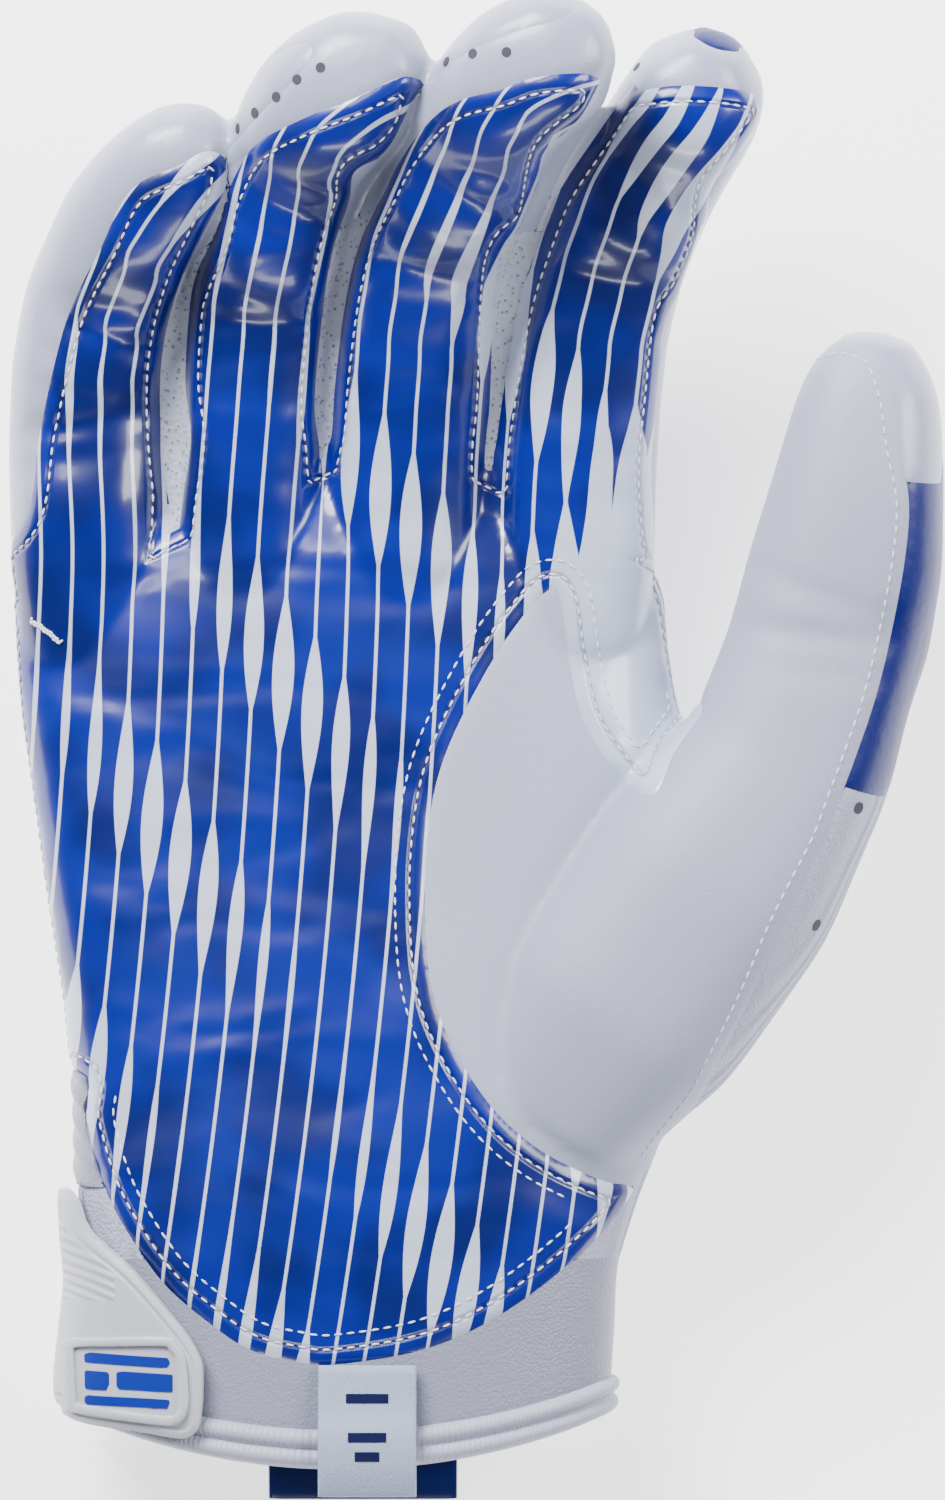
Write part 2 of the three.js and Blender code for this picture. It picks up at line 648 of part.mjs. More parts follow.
function cuffRegion(grow) {
  return block(-palmWidth, palmWidth, openEnd - past, wristY + grow, -past, high);
}

// Pleats that stand proud of the gathered side
function pleatedSide() {
  const bottom = gatherSpan.bottom * palmLength;
  const step = ((gatherSpan.top - gatherSpan.bottom) * palmLength) / (2 * gatherSpan.pleats);
  const stations = Array.from({ length: 2 * gatherSpan.pleats + 1 }, (unused, k) => bottom + k * step);
  const pleat = (y) => (Math.round((y - bottom) / step) % 2 === 1 ? wall : 0);
  return handTube(stations, pleat).subtract(handTube(stations, () => -wall));
}

// Everything below the cuff's own end, where the binding takes over
function hemCut() {
  const end = wristY - cuffLength;
  return handTube([end, openEnd - past], () => past);
}

// Double-ridged binding round the open end
function hemRing() {
  const top = wristY - cuffLength - seamGap;
  const profile = [
    { down: 0.00, rise: 0.3 },
    { down: 0.20, rise: 1.0 },
    { down: 0.48, rise: 0.6 },
    { down: 0.76, rise: 1.0 },
    { down: 1.00, rise: 0.2 },
  ];
  const stations = profile.map((row) => top - row.down * hemLength);
  const rise = (y) => between(profile, 'down', (top - y) / hemLength, 'rise') * hemRise;
  const inner = [top + past, top - hemLength - past];
  return handTube(stations, rise).subtract(handTube(inner, () => -wall - hemSink));
}

// Layer that follows the hand under the strap, between two distances above the surface
const strapStations = [openEnd - past, ...handStations.slice(1, 7)];
function strapLayer(lower, upper) {
  return handTube(strapStations, () => upper).subtract(handTube(strapStations, () => lower));
}

// Strap: a free end on the palm side, round the little-finger side and across the back
function strapBand() {
  const under = hemRise + seamGap;
  const front = prism(palmPoints(strapEnd).reverse(), strapBack.height - 1, high);
  const back = block(
    -palmWidth, strapBack.right * palmWidth,
    strapBack.bottom * palmLength, strapBack.top * palmLength, -past, strapBack.height,
  );
  return strapLayer(under, under + strapThickness).intersect(front.add(back));
}

// Raised frame on the free end of the strap
function strapFrame() {
  const under = hemRise + 2 * seamGap + strapThickness;
  const x = badgePlace.across * cuffWidth;
  const y = badgePlace.along * palmLength;
  const plate = (shrink) => block(
    x - badgeWidth / 2 + shrink, x + badgeWidth / 2 - shrink,
    y - badgeLength / 2 + shrink, y + badgeLength / 2 - shrink, seamHeight, high,
  );
  const border = plate(0).subtract(plate(badgeBorder));
  return strapLayer(under, under + badgeRise).intersect(border);
}

// Flat ribbon through {y, z} points, level across its width
function ribbon(points, across, width, thickness) {
  return loft(points.map(({ y, z }) => [
    new THREE.Vector3(across - width / 2, y, z),
    new THREE.Vector3(across + width / 2, y, z),
    new THREE.Vector3(across + width / 2, y, z + thickness),
    new THREE.Vector3(across - width / 2, y, z + thickness),
  ]));
}

// Woven tag from under the heel edge, over the binding and past it
function wovenTag() {
  const across = tagAcross * palmWidth;
  const hemTop = handY(wristY - cuffLength, across);
  const hemBottom = handY(wristY - cuffLength - hemLength, across);
  const lowest = Math.min(...heelEdge.map((row) => row.along));
  const start = lowest * palmLength - 2 * seamGap;
  const overCuff = handTop(wristY - cuffLength / 2, across) + seamGap;
  const overHem = handTop(wristY - cuffLength, across) + hemRise + seamGap;
  return ribbon([
    { y: start, z: overCuff },
    { y: hemTop + wall, z: overCuff },
    { y: hemTop - wall, z: overHem },
    { y: hemBottom, z: overHem },
    { y: hemBottom - tagOverhang, z: overHem - tagThickness },
  ], across, tagWidth, tagThickness);
}

// Pull tab sewn inside the binding on the palm side
function pullTab() {
  const across = tabAcross * palmWidth;
  const hemBottom = handY(wristY - cuffLength - hemLength, across);
  const edge = handTop(wristY - cuffLength - hemLength, across + tabWidth / 2);
  const z = edge - wall - hemSink - seamGap - tabThickness;
  return ribbon([
    { y: hemBottom + hemLength, z },
    { y: hemBottom, z },
    { y: hemBottom - tabOverhang, z: z - tabThickness / 2 },
  ], across, tabWidth, tabThickness);
}

// The shell of the hand is shared out piece by piece; each cut leaves the seam gap behind it
let shell = handForm(0, false).subtract(handForm(wall, true));
function takePiece(region) {
  const piece = mainBody(shell.intersect(region(0)));
  shell = shell.subtract(region(seamGap));
  return piece;
}

const leatherBlue = { color: '#0b3cae', roughness: 0.4, metalness: 0 };
const leatherWhite = { color: '#d3d6e4', roughness: 0.55, metalness: 0 };
const mattWhite = { color: '#c6c9d8', roughness: 0.7, metalness: 0 };
const meshGrey = { color: '#8d909c', roughness: 0.9, metalness: 0 };
const knitWhite = { color: '#d8dae6', roughness: 0.85, metalness: 0 };
const satinSilver = { color: '#c9cad6', roughness: 0.45, metalness: 0 };
const strapWhite = { color: '#dfe0e6', roughness: 0.4, metalness: 0 };
const tagGrey = { color: '#aab4cc', roughness: 0.9, metalness: 0 };
const tabBlue = { color: '#0a2f8f', roughness: 0.3, metalness: 0 };

const glove = new THREE.Group();
function addPiece(name, manifold, finish) {
  const mesh = new THREE.Mesh(geometryOf(manifold), new THREE.MeshStandardMaterial(finish));
  mesh.name = name;
  glove.add(mesh);
}

addPiece('palm_panel', takePiece(palmRegion), leatherBlue);
addPiece('thumb_panel', takePiece(thumbRegion), mattWhite);
addPiece('thumb_tip', takePiece(thumbTipRegion), leatherWhite);
addPiece('thumb_back', takePiece(thumbBackRegion), leatherBlue);
for (const crotch of crotches) {
  const piece = takePiece((grow) => gussetRegion(crotch, grow));
  addPiece(`gusset_${crotch.left}_${crotch.right}`, piece, meshGrey);
}
addPiece('index_back', takePiece(indexBackRegion), leatherBlue);
for (const name of ['little', 'ring', 'middle', 'index']) {
  addPiece(`cap_${name}`, takePiece((grow) => capRegion(name, grow)), leatherWhite);
}
const gather = mainBody(pleatedSide().intersect(gatherRegion(0)).subtract(palmRegion(seamGap)));
shell = shell.subtract(gatherRegion(seamGap));
addPiece('side_gather', gather, satinSilver);
addPiece('cuff', takePiece(cuffRegion).subtract(hemCut()), satinSilver);
addPiece('back_panel', mainBody(shell), knitWhite);
addPiece('cuff_hem', hemRing(), satinSilver);
addPiece('wrist_strap', mainBody(strapBand()), strapWhite);
addPiece('strap_badge', strapFrame(), strapWhite);
addPiece('size_tag', wovenTag(), tagGrey);
addPiece('pull_tab', pullTab(), tabBlue);

export default glove;
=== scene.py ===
import math

import bpy
import numpy as np
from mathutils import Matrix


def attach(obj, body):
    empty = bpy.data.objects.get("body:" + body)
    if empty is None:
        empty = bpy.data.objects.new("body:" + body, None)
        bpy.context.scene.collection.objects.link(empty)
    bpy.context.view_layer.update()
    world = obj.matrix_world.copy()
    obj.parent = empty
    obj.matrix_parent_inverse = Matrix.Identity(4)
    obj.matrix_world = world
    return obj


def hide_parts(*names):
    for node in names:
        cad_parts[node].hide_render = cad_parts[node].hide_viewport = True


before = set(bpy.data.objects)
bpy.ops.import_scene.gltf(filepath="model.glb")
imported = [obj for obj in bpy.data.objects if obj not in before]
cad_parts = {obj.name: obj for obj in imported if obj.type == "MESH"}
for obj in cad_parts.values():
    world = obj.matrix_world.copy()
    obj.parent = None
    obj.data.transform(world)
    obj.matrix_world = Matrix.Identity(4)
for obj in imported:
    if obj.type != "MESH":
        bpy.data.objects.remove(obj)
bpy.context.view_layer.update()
MM = 0.001


# Camera: straight above the glove, as in the photograph, far enough away to flatten it.
camera_place = (18.0, 11.8, 1325.0)
focus_height = 25.0
long_side_seen = 220.5
sensor = 36.0
camera = bpy.data.objects.new("camera", bpy.data.cameras.new("camera"))
camera.data.sensor_width = sensor
camera.data.lens = sensor * (camera_place[2] - focus_height) / long_side_seen
camera.data.clip_start, camera.data.clip_end = 0.05, 20.0  # metres
camera.location = [value * MM for value in camera_place]
bpy.context.collection.objects.link(camera)
bpy.context.scene.camera = camera


# Floor: a plain pale matt sheet that the glove lies on, lit a little from below so that it looks
# white, as in the photograph. It is a backdrop, not part of the glove.
def linear(colour):
    """Scene colour of an sRGB hex colour."""
    channels = [int(colour[at:at + 2], 16) / 255 for at in (1, 3, 5)]
    values = [c / 12.92 if c <= 0.04045 else ((c + 0.055) / 1.055) ** 2.4 for c in channels]
    return (*values, 1.0)


def new_material(name, colour, roughness, more=()):
    """A named material with its tree and its shader node."""
    material = bpy.data.materials.new(name)
    material.use_nodes = True
    shader = material.node_tree.nodes["Principled BSDF"]
    values = {"Base Color": linear(colour), "Roughness": roughness, "IOR": 1.5, **dict(more)}
    for key, value in values.items():
        shader.inputs[key].default_value = value
    return material, material.node_tree, shader


def new_object(name, points, faces, material):
    """A mesh object at the origin from points in millimetres."""
    mesh = bpy.data.meshes.new(name)
    faces = faces.tolist() if isinstance(faces, np.ndarray) else faces
    mesh.from_pydata((np.asarray(points) * MM).tolist(), [], faces)
    mesh.materials.append(material)
    mesh.update()
    made = bpy.data.objects.new(name, mesh)
    bpy.context.collection.objects.link(made)
    return made


floor_half, floor_level = 1500.0, -0.2
floor_corners = [(-1, -1), (1, -1), (1, 1), (-1, 1)]
# Matt acrylic: an even pale white without any reflection
acrylic, _, _ = new_material("matt acrylic backdrop lit from below", "#fafafb", 0.9, {
    "Emission Color": (1.0, 1.0, 1.0, 1.0), "Emission Strength": 1.7})
floor = new_object("floor", [(x * floor_half, y * floor_half, floor_level) for x, y in floor_corners],
                   [(0, 1, 2, 3)], acrylic)


# Studio light: a dim white room, a large softbox from the upper left, a fill from the right, a low
# strip from the wrist side and a faint strip above, so the film shows soft patches of light.
room = bpy.data.worlds.new("studio room")
bpy.context.scene.world = room
room.use_nodes = True
room.node_tree.nodes["Background"].inputs["Color"].default_value = linear("#eef1f6")
room.node_tree.nodes["Background"].inputs["Strength"].default_value = 0.12


def softbox(name, place, width, depth, watts):
    """A rectangular area light facing the palm; its place and sizes are millimetres."""
    light = bpy.data.lights.new(name, "AREA")
    light.shape = "RECTANGLE"
    light.size = width * MM
    light.size_y = depth * MM
    light.energy = watts
    made = bpy.data.objects.new(name, light)
    made.location = [value * MM for value in place]
    made.rotation_mode = "QUATERNION"
    made.rotation_quaternion = made.location.to_track_quat("Z", "Y")
    bpy.context.collection.objects.link(made)


softbox("key softbox", (-430, 720, 620), 600, 460, 32)
softbox("fill softbox", (760, 240, 620), 360, 560, 11)
softbox("wrist strip", (-60, -900, 520), 800, 160, 4)
softbox("high strip", (-260, 520, 1100), 560, 140, 3)


# Hand form: the soft shape that every panel of the glove is cut from. Tubes round the palm and
# round each finger are joined into one surface, which is then smoothed like stuffed leather.
PALM_SLICES = [
    # y, left, right, top, cup, bow, floor
    (-96.0, -40.8, 38.2, 29.6, 0.0, -7.5, 3.3),
    (-88.4, -40.6, 38.2, 29.8, 0.0, -7.5, 3.3),
    (-80.5, -41.0, 38.7, 30.3, 0.0, -7.5, 3.3),
    (-72.6, -40.0, 39.2, 30.6, 0.0, -3.9, 3.3),
    (-65.6, -39.2, 39.4, 31.1, 0.0, 0.0, 3.3),
    (-63.0, -39.8, 39.8, 31.0, 0.0, 0.0, 3.0),
    (-54.4, -40.4, 42.6, 31.9, 0.6, 0.0, 0.5),
    (-39.6, -40.7, 48.5, 31.9, 1.6, 0.0, 0.0),
    (-25.0, -42.1, 52.4, 31.6, 2.8, 0.0, 0.0),
    (-10.3, -44.5, 52.9, 30.7, 3.4, 0.0, 0.0),
    (4.4, -46.6, 51.4, 29.5, 3.1, 0.0, 0.0),
    (17.7, -48.7, 48.5, 28.2, 2.2, 1.2, 0.0),
    (27.7, -49.7, 47.0, 26.7, 0.9, 3.5, 0.0),
    (34.2, -50.1, 46.6, 24.8, 0.0, 9.4, 0.5),
    (38.9, -48.5, 45.1, 21.1, 0.0, 13.0, 1.8),
    (41.0, -46.0, 42.5, 17.0, 0.0, 13.6, 3.6),
]
FINGERS = {
    # share along, then x, y and z as shares of the length, then shares of the width and thickness
    "little": {
        "length": 87.4, "width": 24.0, "thickness": 21.0, "root": (-38.4, 26.6, 14.0),
        "creases": (0.40, 0.58), "slim": 0.5,
        "rows": [
            (0.00, 0.000, 0.000, 0.000, 0.99, 1.00), (0.15, -0.003, 0.153, 0.006, 1.01, 1.00),
            (0.34, -0.009, 0.338, 0.023, 0.99, 0.95), (0.48, -0.005, 0.473, 0.051, 0.96, 0.90),
            (0.59, 0.014, 0.581, 0.092, 0.93, 0.89), (0.75, 0.071, 0.708, 0.160, 0.89, 0.86),
            (0.84, 0.116, 0.767, 0.206, 0.84, 0.84), (0.91, 0.161, 0.816, 0.246, 0.74, 0.78),
            (0.97, 0.197, 0.849, 0.280, 0.56, 0.62), (1.00, 0.211, 0.863, 0.298, 0.30, 0.38),
        ],
    },
    "ring": {
        "length": 104.6, "width": 22.0, "thickness": 22.6, "root": (-16.0, 26.6, 14.0),
        "creases": (0.50, 0.71), "slim": 0.5,
        "rows": [
            (0.00, 0.000, 0.000, 0.000, 1.08, 1.02), (0.17, 0.006, 0.170, 0.010, 1.02, 1.00),
            (0.30, 0.012, 0.297, 0.024, 1.00, 0.97), (0.40, 0.020, 0.395, 0.048, 0.97, 0.93),
            (0.50, 0.030, 0.492, 0.081, 0.95, 0.90), (0.69, 0.067, 0.648, 0.172, 0.88, 0.90),
            (0.77, 0.090, 0.712, 0.220, 0.96, 0.90), (0.85, 0.129, 0.759, 0.263, 1.03, 0.88),
            (0.93, 0.187, 0.797, 0.307, 0.93, 0.79), (1.00, 0.242, 0.821, 0.339, 0.42, 0.40),
        ],
    },
    "middle": {
        "length": 109.1, "width": 23.0, "thickness": 24.0, "root": (8.0, 28.1, 14.0),
        "creases": (0.57, 0.71), "slim": 0.5,
        "rows": [
            (0.00, 0.000, 0.000, 0.000, 1.03, 1.00), (0.19, 0.001, 0.190, 0.014, 1.03, 1.00),
            (0.33, 0.008, 0.325, 0.041, 1.01, 0.94), (0.44, 0.018, 0.431, 0.083, 0.99, 0.90),
            (0.55, 0.037, 0.522, 0.138, 0.96, 0.88), (0.71, 0.091, 0.641, 0.234, 0.92, 0.85),
            (0.81, 0.128, 0.709, 0.298, 0.94, 0.85), (0.89, 0.170, 0.750, 0.339, 0.96, 0.82),
            (0.96, 0.228, 0.773, 0.381, 0.82, 0.68), (1.00, 0.262, 0.781, 0.400, 0.37, 0.29),
        ],
    },
    "index": {
        "length": 96.2, "width": 23.5, "thickness": 24.0, "root": (33.1, 28.1, 14.0),
        "creases": (0.60, 0.78), "slim": 0.5,
        "rows": [
            (0.00, 0.000, 0.000, 0.000, 1.03, 1.00), (0.23, 0.004, 0.231, 0.016, 1.03, 0.98),
            (0.37, 0.013, 0.368, 0.036, 1.01, 0.94), (0.49, 0.027, 0.482, 0.068, 0.99, 0.90),
            (0.60, 0.054, 0.583, 0.109, 0.96, 0.88), (0.72, 0.093, 0.679, 0.161, 0.95, 0.86),
            (0.81, 0.136, 0.746, 0.203, 0.89, 0.83), (0.88, 0.173, 0.802, 0.239, 0.89, 0.82),
            (0.95, 0.196, 0.856, 0.275, 0.80, 0.72), (1.00, 0.209, 0.893, 0.301, 0.35, 0.38),
        ],
    },
    "thumb": {
        "length": 126.3, "width": 28.0, "thickness": 27.0, "root": (29.5, -41.5, 17.0),
        "creases": (0.66,), "slim": 0.0,
        "rows": [
            (0.00, 0.000, 0.000, 0.000, 1.11, 1.11), (0.16, 0.091, 0.129, 0.020, 1.35, 1.35),
            (0.34, 0.196, 0.279, 0.040, 1.35, 1.33), (0.49, 0.276, 0.405, 0.055, 1.11, 1.15),
            (0.63, 0.316, 0.532, 0.071, 1.01, 1.02), (0.74, 0.344, 0.640, 0.083, 1.01, 0.96),
            (0.85, 0.360, 0.746, 0.095, 0.87, 0.89), (0.92, 0.369, 0.822, 0.103, 0.76, 0.81),
            (0.97, 0.374, 0.868, 0.109, 0.63, 0.70), (1.00, 0.378, 0.896, 0.113, 0.37, 0.44),
        ],
    },
}
roundness = 0.8
back_drop = 1.5  # the flat back is cut this far above the tubes' lowest line
pad_start, pad_end, pad_bulge = 0.12, 0.97, 0.8
sink_share, root_sink = 0.14, 1.4
root_taper, tip_reach, end_shrink = 11.0, 0.5, 0.45
form_step = 0.8
table_gap = 0.12
hand_smoothing, finger_smoothing = 12, 14


def smoothed(values, times):
    """A row of numbers with its kinks rounded off and its two ends kept."""
    for _ in range(times):
        inner = (values[:-2] + 2 * values[1:-1] + values[2:]) / 4
        values = np.concatenate([values[:1], inner, values[-1:]])
    return values


def section(sides):
    """Unit outline of a section, between an ellipse and a rectangle."""
    angle = np.linspace(0, 2 * math.pi, sides, endpoint=False)
    across = np.sign(np.cos(angle)) * np.abs(np.cos(angle)) ** roundness
    rise = np.sign(np.sin(angle)) * np.abs(np.sin(angle)) ** roundness
    return across, rise


def tube_faces(rings, sides, first=0):
    """Faces round a closed tube, capped at both ends."""
    faces = []
    for ring in range(rings - 1):
        for side in range(sides):
            a, b = first + ring * sides + side, first + ring * sides + (side + 1) % sides
            faces.append((a, b, b + sides, a + sides))
    last = first + (rings - 1) * sides
    faces.append(tuple(range(first + sides - 1, first - 1, -1)))
    faces.append(tuple(range(last, last + sides)))
    return faces


def hand_values(y):
    """Left, right, top, cup, bow and floor of the hand at heights along it."""
    table = np.array(PALM_SLICES)
    ys = np.linspace(table[0, 0], table[-1, 0], 200)
    columns = [smoothed(np.interp(ys, table[:, 0], table[:, k]), hand_smoothing) for k in range(1, 7)]
    return [np.interp(y, ys, column) for column in columns]


def finger_line(finger, count=120):
    """Centres, side and up directions, half sizes and shares along a finger's curled line."""
    rows = np.array(finger["rows"])
    at = np.linspace(0, 1, count)
    columns = [smoothed(np.interp(at, rows[:, 0], rows[:, k]), finger_smoothing) for k in range(1, 6)]
    centre = np.array(finger["root"]) + finger["length"] * np.stack(columns[:3], 1)
    forward = np.gradient(centre, axis=0)
    forward /= np.linalg.norm(forward, axis=1)[:, None]
    side = np.cross(forward, (0, 0, 1))
    side /= np.linalg.norm(side, axis=1)[:, None]
    up = np.cross(side, forward)
    slim = finger["slim"] * np.clip(1.6 - 2 * at, 0, 1)
    sunk = root_sink * np.clip(1 - at / sink_share, 0, 1)
    half_width = columns[3] * finger["width"] / 2 - slim - sunk
    half_thick = columns[4] * finger["thickness"] / 2 - sunk
    return {"at": at, "centre": centre, "side": side, "up": up, "half_width": half_width,
            "half_thick": half_thick}


# Folds at the joints: millimetres along from the joint, slant, depth and half width
JOINT_FOLDS = [
    [(0.0, 2.2, 0.85, 2.3), (5.2, -1.6, 0.5, 1.9), (-5.0, 2.8, 0.45, 2.1)],
    [(0.0, -2.4, 0.8, 2.2), (4.8, 1.8, 0.45, 1.8), (-5.6, -2.8, 0.5, 2.1)],
]


def joint_relief(finger, at, across):
    """Rise of the palm side at places across a finger: soft pads between slanted folds."""
    stops = (pad_start, *finger["creases"], pad_end)
    rise = np.zeros_like(across)
    for low, high in zip(stops[:-1], stops[1:]):
        inside = min(max((at - low) / (high - low), 0), 1)
        rise += pad_bulge * (0.5 - 0.5 * math.cos(2 * math.pi * inside))
    for crease, folds in zip(finger["creases"], JOINT_FOLDS):
        for along, slant, depth, half in folds:
            away = (at - crease) * finger["length"] - along - slant * across
            rise -= depth * np.exp(-(away / half) ** 2)
    return rise


form_points, form_faces = [], []
hand_sides, finger_sides = 96, 48
hand_start, hand_end, hand_step = -95.0, 41.0, 1.7
across, rise = section(hand_sides)
hand_rows = np.arange(hand_start, hand_end, hand_step)
for y, left, right, top, cup, bow, low in zip(hand_rows, *hand_values(hand_rows)):
    middle, half = (left + right) / 2, (right - left) / 2
    height = (top - low + back_drop) / 2
    x = middle + half * across
    z = (top + low - back_drop) / 2 + height * rise - cup * (1 - across ** 2) * np.maximum(rise, 0)
    form_points += list(zip(x, y + bow * (1 - across ** 2), np.maximum(z, low)))
form_faces += tube_faces(len(hand_rows), hand_sides)

finger_lines = {name: finger_line(finger) for name, finger in FINGERS.items()}
across, rise = section(finger_sides)
for name, line in finger_lines.items():
    first = len(form_points)
    rings = []
    for k in range(len(line["at"])):
        u = line["half_width"][k] * across
        relief = joint_relief(FINGERS[name], line["at"][k], across)
        v = line["half_thick"][k] * rise + relief * np.maximum(rise, 0)
        rings.append(line["centre"][k] + u[:, None] * line["side"][k] + v[:, None] * line["up"][k])
    back = line["centre"][0] - line["centre"][2]
    root = line["centre"][0] + root_taper * back / np.linalg.norm(back)
    tip = line["centre"][-1] + (line["centre"][-1] - line["centre"][-3]) * tip_reach
    rings.insert(0, root + (rings[0] - line["centre"][0]) * end_shrink)
    rings.append(tip + (rings[-1] - line["centre"][-1]) * end_shrink)
    form_points += list(np.concatenate(rings))
    form_faces += tube_faces(len(rings), finger_sides, first)

# Thin webs low down between neighbouring fingers, so that no daylight shows between them
web_spans = [
    # finger and where the web ends on it, as a share of its length, then the same for its neighbour
    ("little", 0.80, "ring", 0.66), ("ring", 0.88, "middle", 0.86), ("middle", 0.84, "index", 0.86),
]
web_start, web_half, web_lift, web_steps = 0.05, 1.5, 0.45, 30
for left, left_end, right, right_end in web_spans:
    first = len(form_points)
    for step in np.linspace(0, 1, web_steps):
        corners = []
        for name, end in ((left, left_end), (right, right_end)):
            line = finger_lines[name]
            k = int(round((web_start + (end - web_start) * step) * (len(line["at"]) - 1)))
            above = web_lift * (1 - step) * line["half_thick"][k]
            corners.append(line["centre"][k] + line["up"][k] * above)
        up_by = np.array((0.0, 0.0, web_half))
        form_points += [corners[0] - up_by, corners[1] - up_by, corners[1] + up_by, corners[0] + up_by]
    form_faces += tube_faces(web_steps, 4, first)


def joined_surface(points, faces, step):
    """Outer surface of overlapping closed shapes, as points and triangles in millimetres."""
    mesh = bpy.data.meshes.new("tubes")
    mesh.from_pydata([tuple(value * MM for value in point) for point in points], [], faces)
    holder = bpy.data.objects.new("tubes", mesh)
    bpy.context.collection.objects.link(holder)
    remesh = holder.modifiers.new("join", "REMESH")
    remesh.mode = "VOXEL"
    remesh.voxel_size = step * MM
    made = holder.evaluated_get(bpy.context.evaluated_depsgraph_get()).to_mesh()
    made.calc_loop_triangles()
    corners = np.empty(len(made.vertices) * 3)
    triangles = np.empty(len(made.loop_triangles) * 3, dtype=np.int64)
    made.vertices.foreach_get("co", corners)
    made.loop_triangles.foreach_get("vertices", triangles)
    bpy.data.objects.remove(holder)
    bpy.data.meshes.remove(mesh)
    return corners.reshape(-1, 3) / MM, triangles.reshape(-1, 3)


def neighbour_mean(triangles, values):
    """Mean of each vertex's neighbours."""
    pairs = np.concatenate([triangles[:, [0, 1]], triangles[:, [1, 2]], triangles[:, [2, 0]]])
    total = np.zeros_like(values)
    for column in range(values.shape[1]):
        total[:, column] = np.bincount(pairs[:, 0], values[pairs[:, 1], column], len(values))
        total[:, column] += np.bincount(pairs[:, 1], values[pairs[:, 0], column], len(values))
    count = np.bincount(pairs.ravel(), minlength=len(values))
    return total / count[:, None]


def vertex_normals(points, triangles):
    """Unit normals, weighted by triangle area."""
    a, b, c = (points[triangles[:, k]] for k in range(3))
    flat = np.cross(b - a, c - a)
    total = np.zeros_like(points)
    for column in range(3):
        for corner in range(3):
            total[:, column] += np.bincount(triangles[:, corner], flat[:, column], len(points))
    return total / np.maximum(np.linalg.norm(total, axis=1), 1e-9)[:, None]


# Steps in and out keep the volume while they smooth, and two plain steps follow
smoothing_weights = (0.6, -0.62) * 7 + (0.5, 0.5)
form, form_triangles = joined_surface(form_points, form_faces, form_step)
for weight in smoothing_weights:
    form = form + weight * (neighbour_mean(form_triangles, form) - form)

# The web beside the thumb is stretched, so its valley is smoothed once more by itself
web_valley, valley_reach, valley_passes = (50.0, 18.0), 9.0, 24
valley_end, valley_weight = 1.6, 0.5
from_valley = np.hypot(form[:, 0] - web_valley[0], form[:, 1] - web_valley[1])
in_valley = np.clip(valley_end - from_valley / valley_reach, 0, 1)
for _ in range(valley_passes):
    pulled = neighbour_mean(form_triangles, form) - form
    form = form + valley_weight * in_valley[:, None] * pulled
form[:, 2] = np.maximum(form[:, 2], table_gap)
form_normals = vertex_normals(form, form_triangles)

# Where each point of the form is seen by the camera, on the level of the palm
depth_share = (camera_place[2] - focus_height) / (camera_place[2] - form[:, 2])
seen = np.array(camera_place[:2]) + (form[:, :2] - camera_place[:2]) * depth_share[:, None]


def finger_place(line, points, chunk_size=20000):
    """Share along the finger and place across and above its centre, in half sizes."""
    nearest = np.zeros(len(points), dtype=np.int64)
    for start in range(0, len(points), chunk_size):
        chunk = points[start:start + chunk_size]
        apart = ((chunk[:, None, :] - line["centre"][None, ::3, :]) ** 2).sum(2)
        nearest[start:start + chunk_size] = 3 * apart.argmin(1)
    at = line["at"][nearest]
    speed = np.gradient(line["centre"], line["at"], axis=0)
    here = {}
    # A few damped steps move each share to the closest place on the finger's line
    for _ in range(3):
        for key in ("centre", "side", "up"):
            here[key] = np.column_stack([np.interp(at, line["at"], line[key][:, k]) for k in range(3)])
        ahead = np.column_stack([np.interp(at, line["at"], speed[:, k]) for k in range(3)])
        at = np.clip(at + 0.8 * ((points - here["centre"]) * ahead).sum(1) / (ahead ** 2).sum(1), 0, 1)
    offset = points - here["centre"]
    half_width = np.interp(at, line["at"], line["half_width"])
    half_thick = np.interp(at, line["at"], line["half_thick"])
    s = (offset * here["side"]).sum(1) / half_width
    n = (offset * here["up"]).sum(1) / half_thick
    return {"at": at, "s": s, "n": n, "r": np.hypot(s, n), "half_width": half_width,
            "half_thick": half_thick}


# Below zero where a finger is the nearest one, in about millimetres from the border
places = {name: finger_place(line, form) for name, line in finger_lines.items()}
radii = np.stack([places[name]["r"] for name in FINGERS])
border_scale = 6.0
own = {}
for k, name in enumerate(FINGERS):
    others = np.delete(radii, k, axis=0).min(axis=0)
    own[name] = (radii[k] - others) * border_scale


# Palm leather: blue glossy film over leather, printed with white lines, with a strip up each
# finger. It laps over its neighbours and is sewn down 2.3 mm inside its edge.
heel_edge = [
    (-60.3, -35.3), (-40.4, -35.3), (-39.0, -42.6), (-36.8, -50.7), (-33.8, -57.3), (-27.9, -66.1),
    (-21.3, -72.0), (-14.7, -76.4), (-7.3, -78.2), (-2.9, -78.6), (7.3, -77.2), (14.7, -75.0),
    (22.0, -71.3), (29.4, -66.1), (36.8, -59.5), (41.5, -53.5), (40.8, -52.2),
]
thumb_seam = [
    (36.8, -51.4), (27.9, -47.0), (20.6, -40.4), (14.7, -30.9), (11.8, -22.0), (11.0, -10.3),
    (11.5, 0.0), (13.2, 8.8), (16.9, 17.6), (22.8, 27.9), (28.7, 35.0), (30.9, 33.8), (32.0, 26.5),
    (33.8, 17.6), (36.8, 11.8), (41.2, 6.6), (44.1, 5.1), (45.9, 7.3), (47.3, 11.0), (49.6, 14.4),
]
web_edge = [
    (51.6, 17.6), (51.0, 20.1), (50.0, 23.5), (48.2, 29.4), (47.3, 35.3), (45.0, 40.4), (20.3, 52.9),
    (8.1, 55.1), (-4.4, 54.4), (-25.7, 44.1), (-44.0, 36.0), (-60.3, 30.0),
]
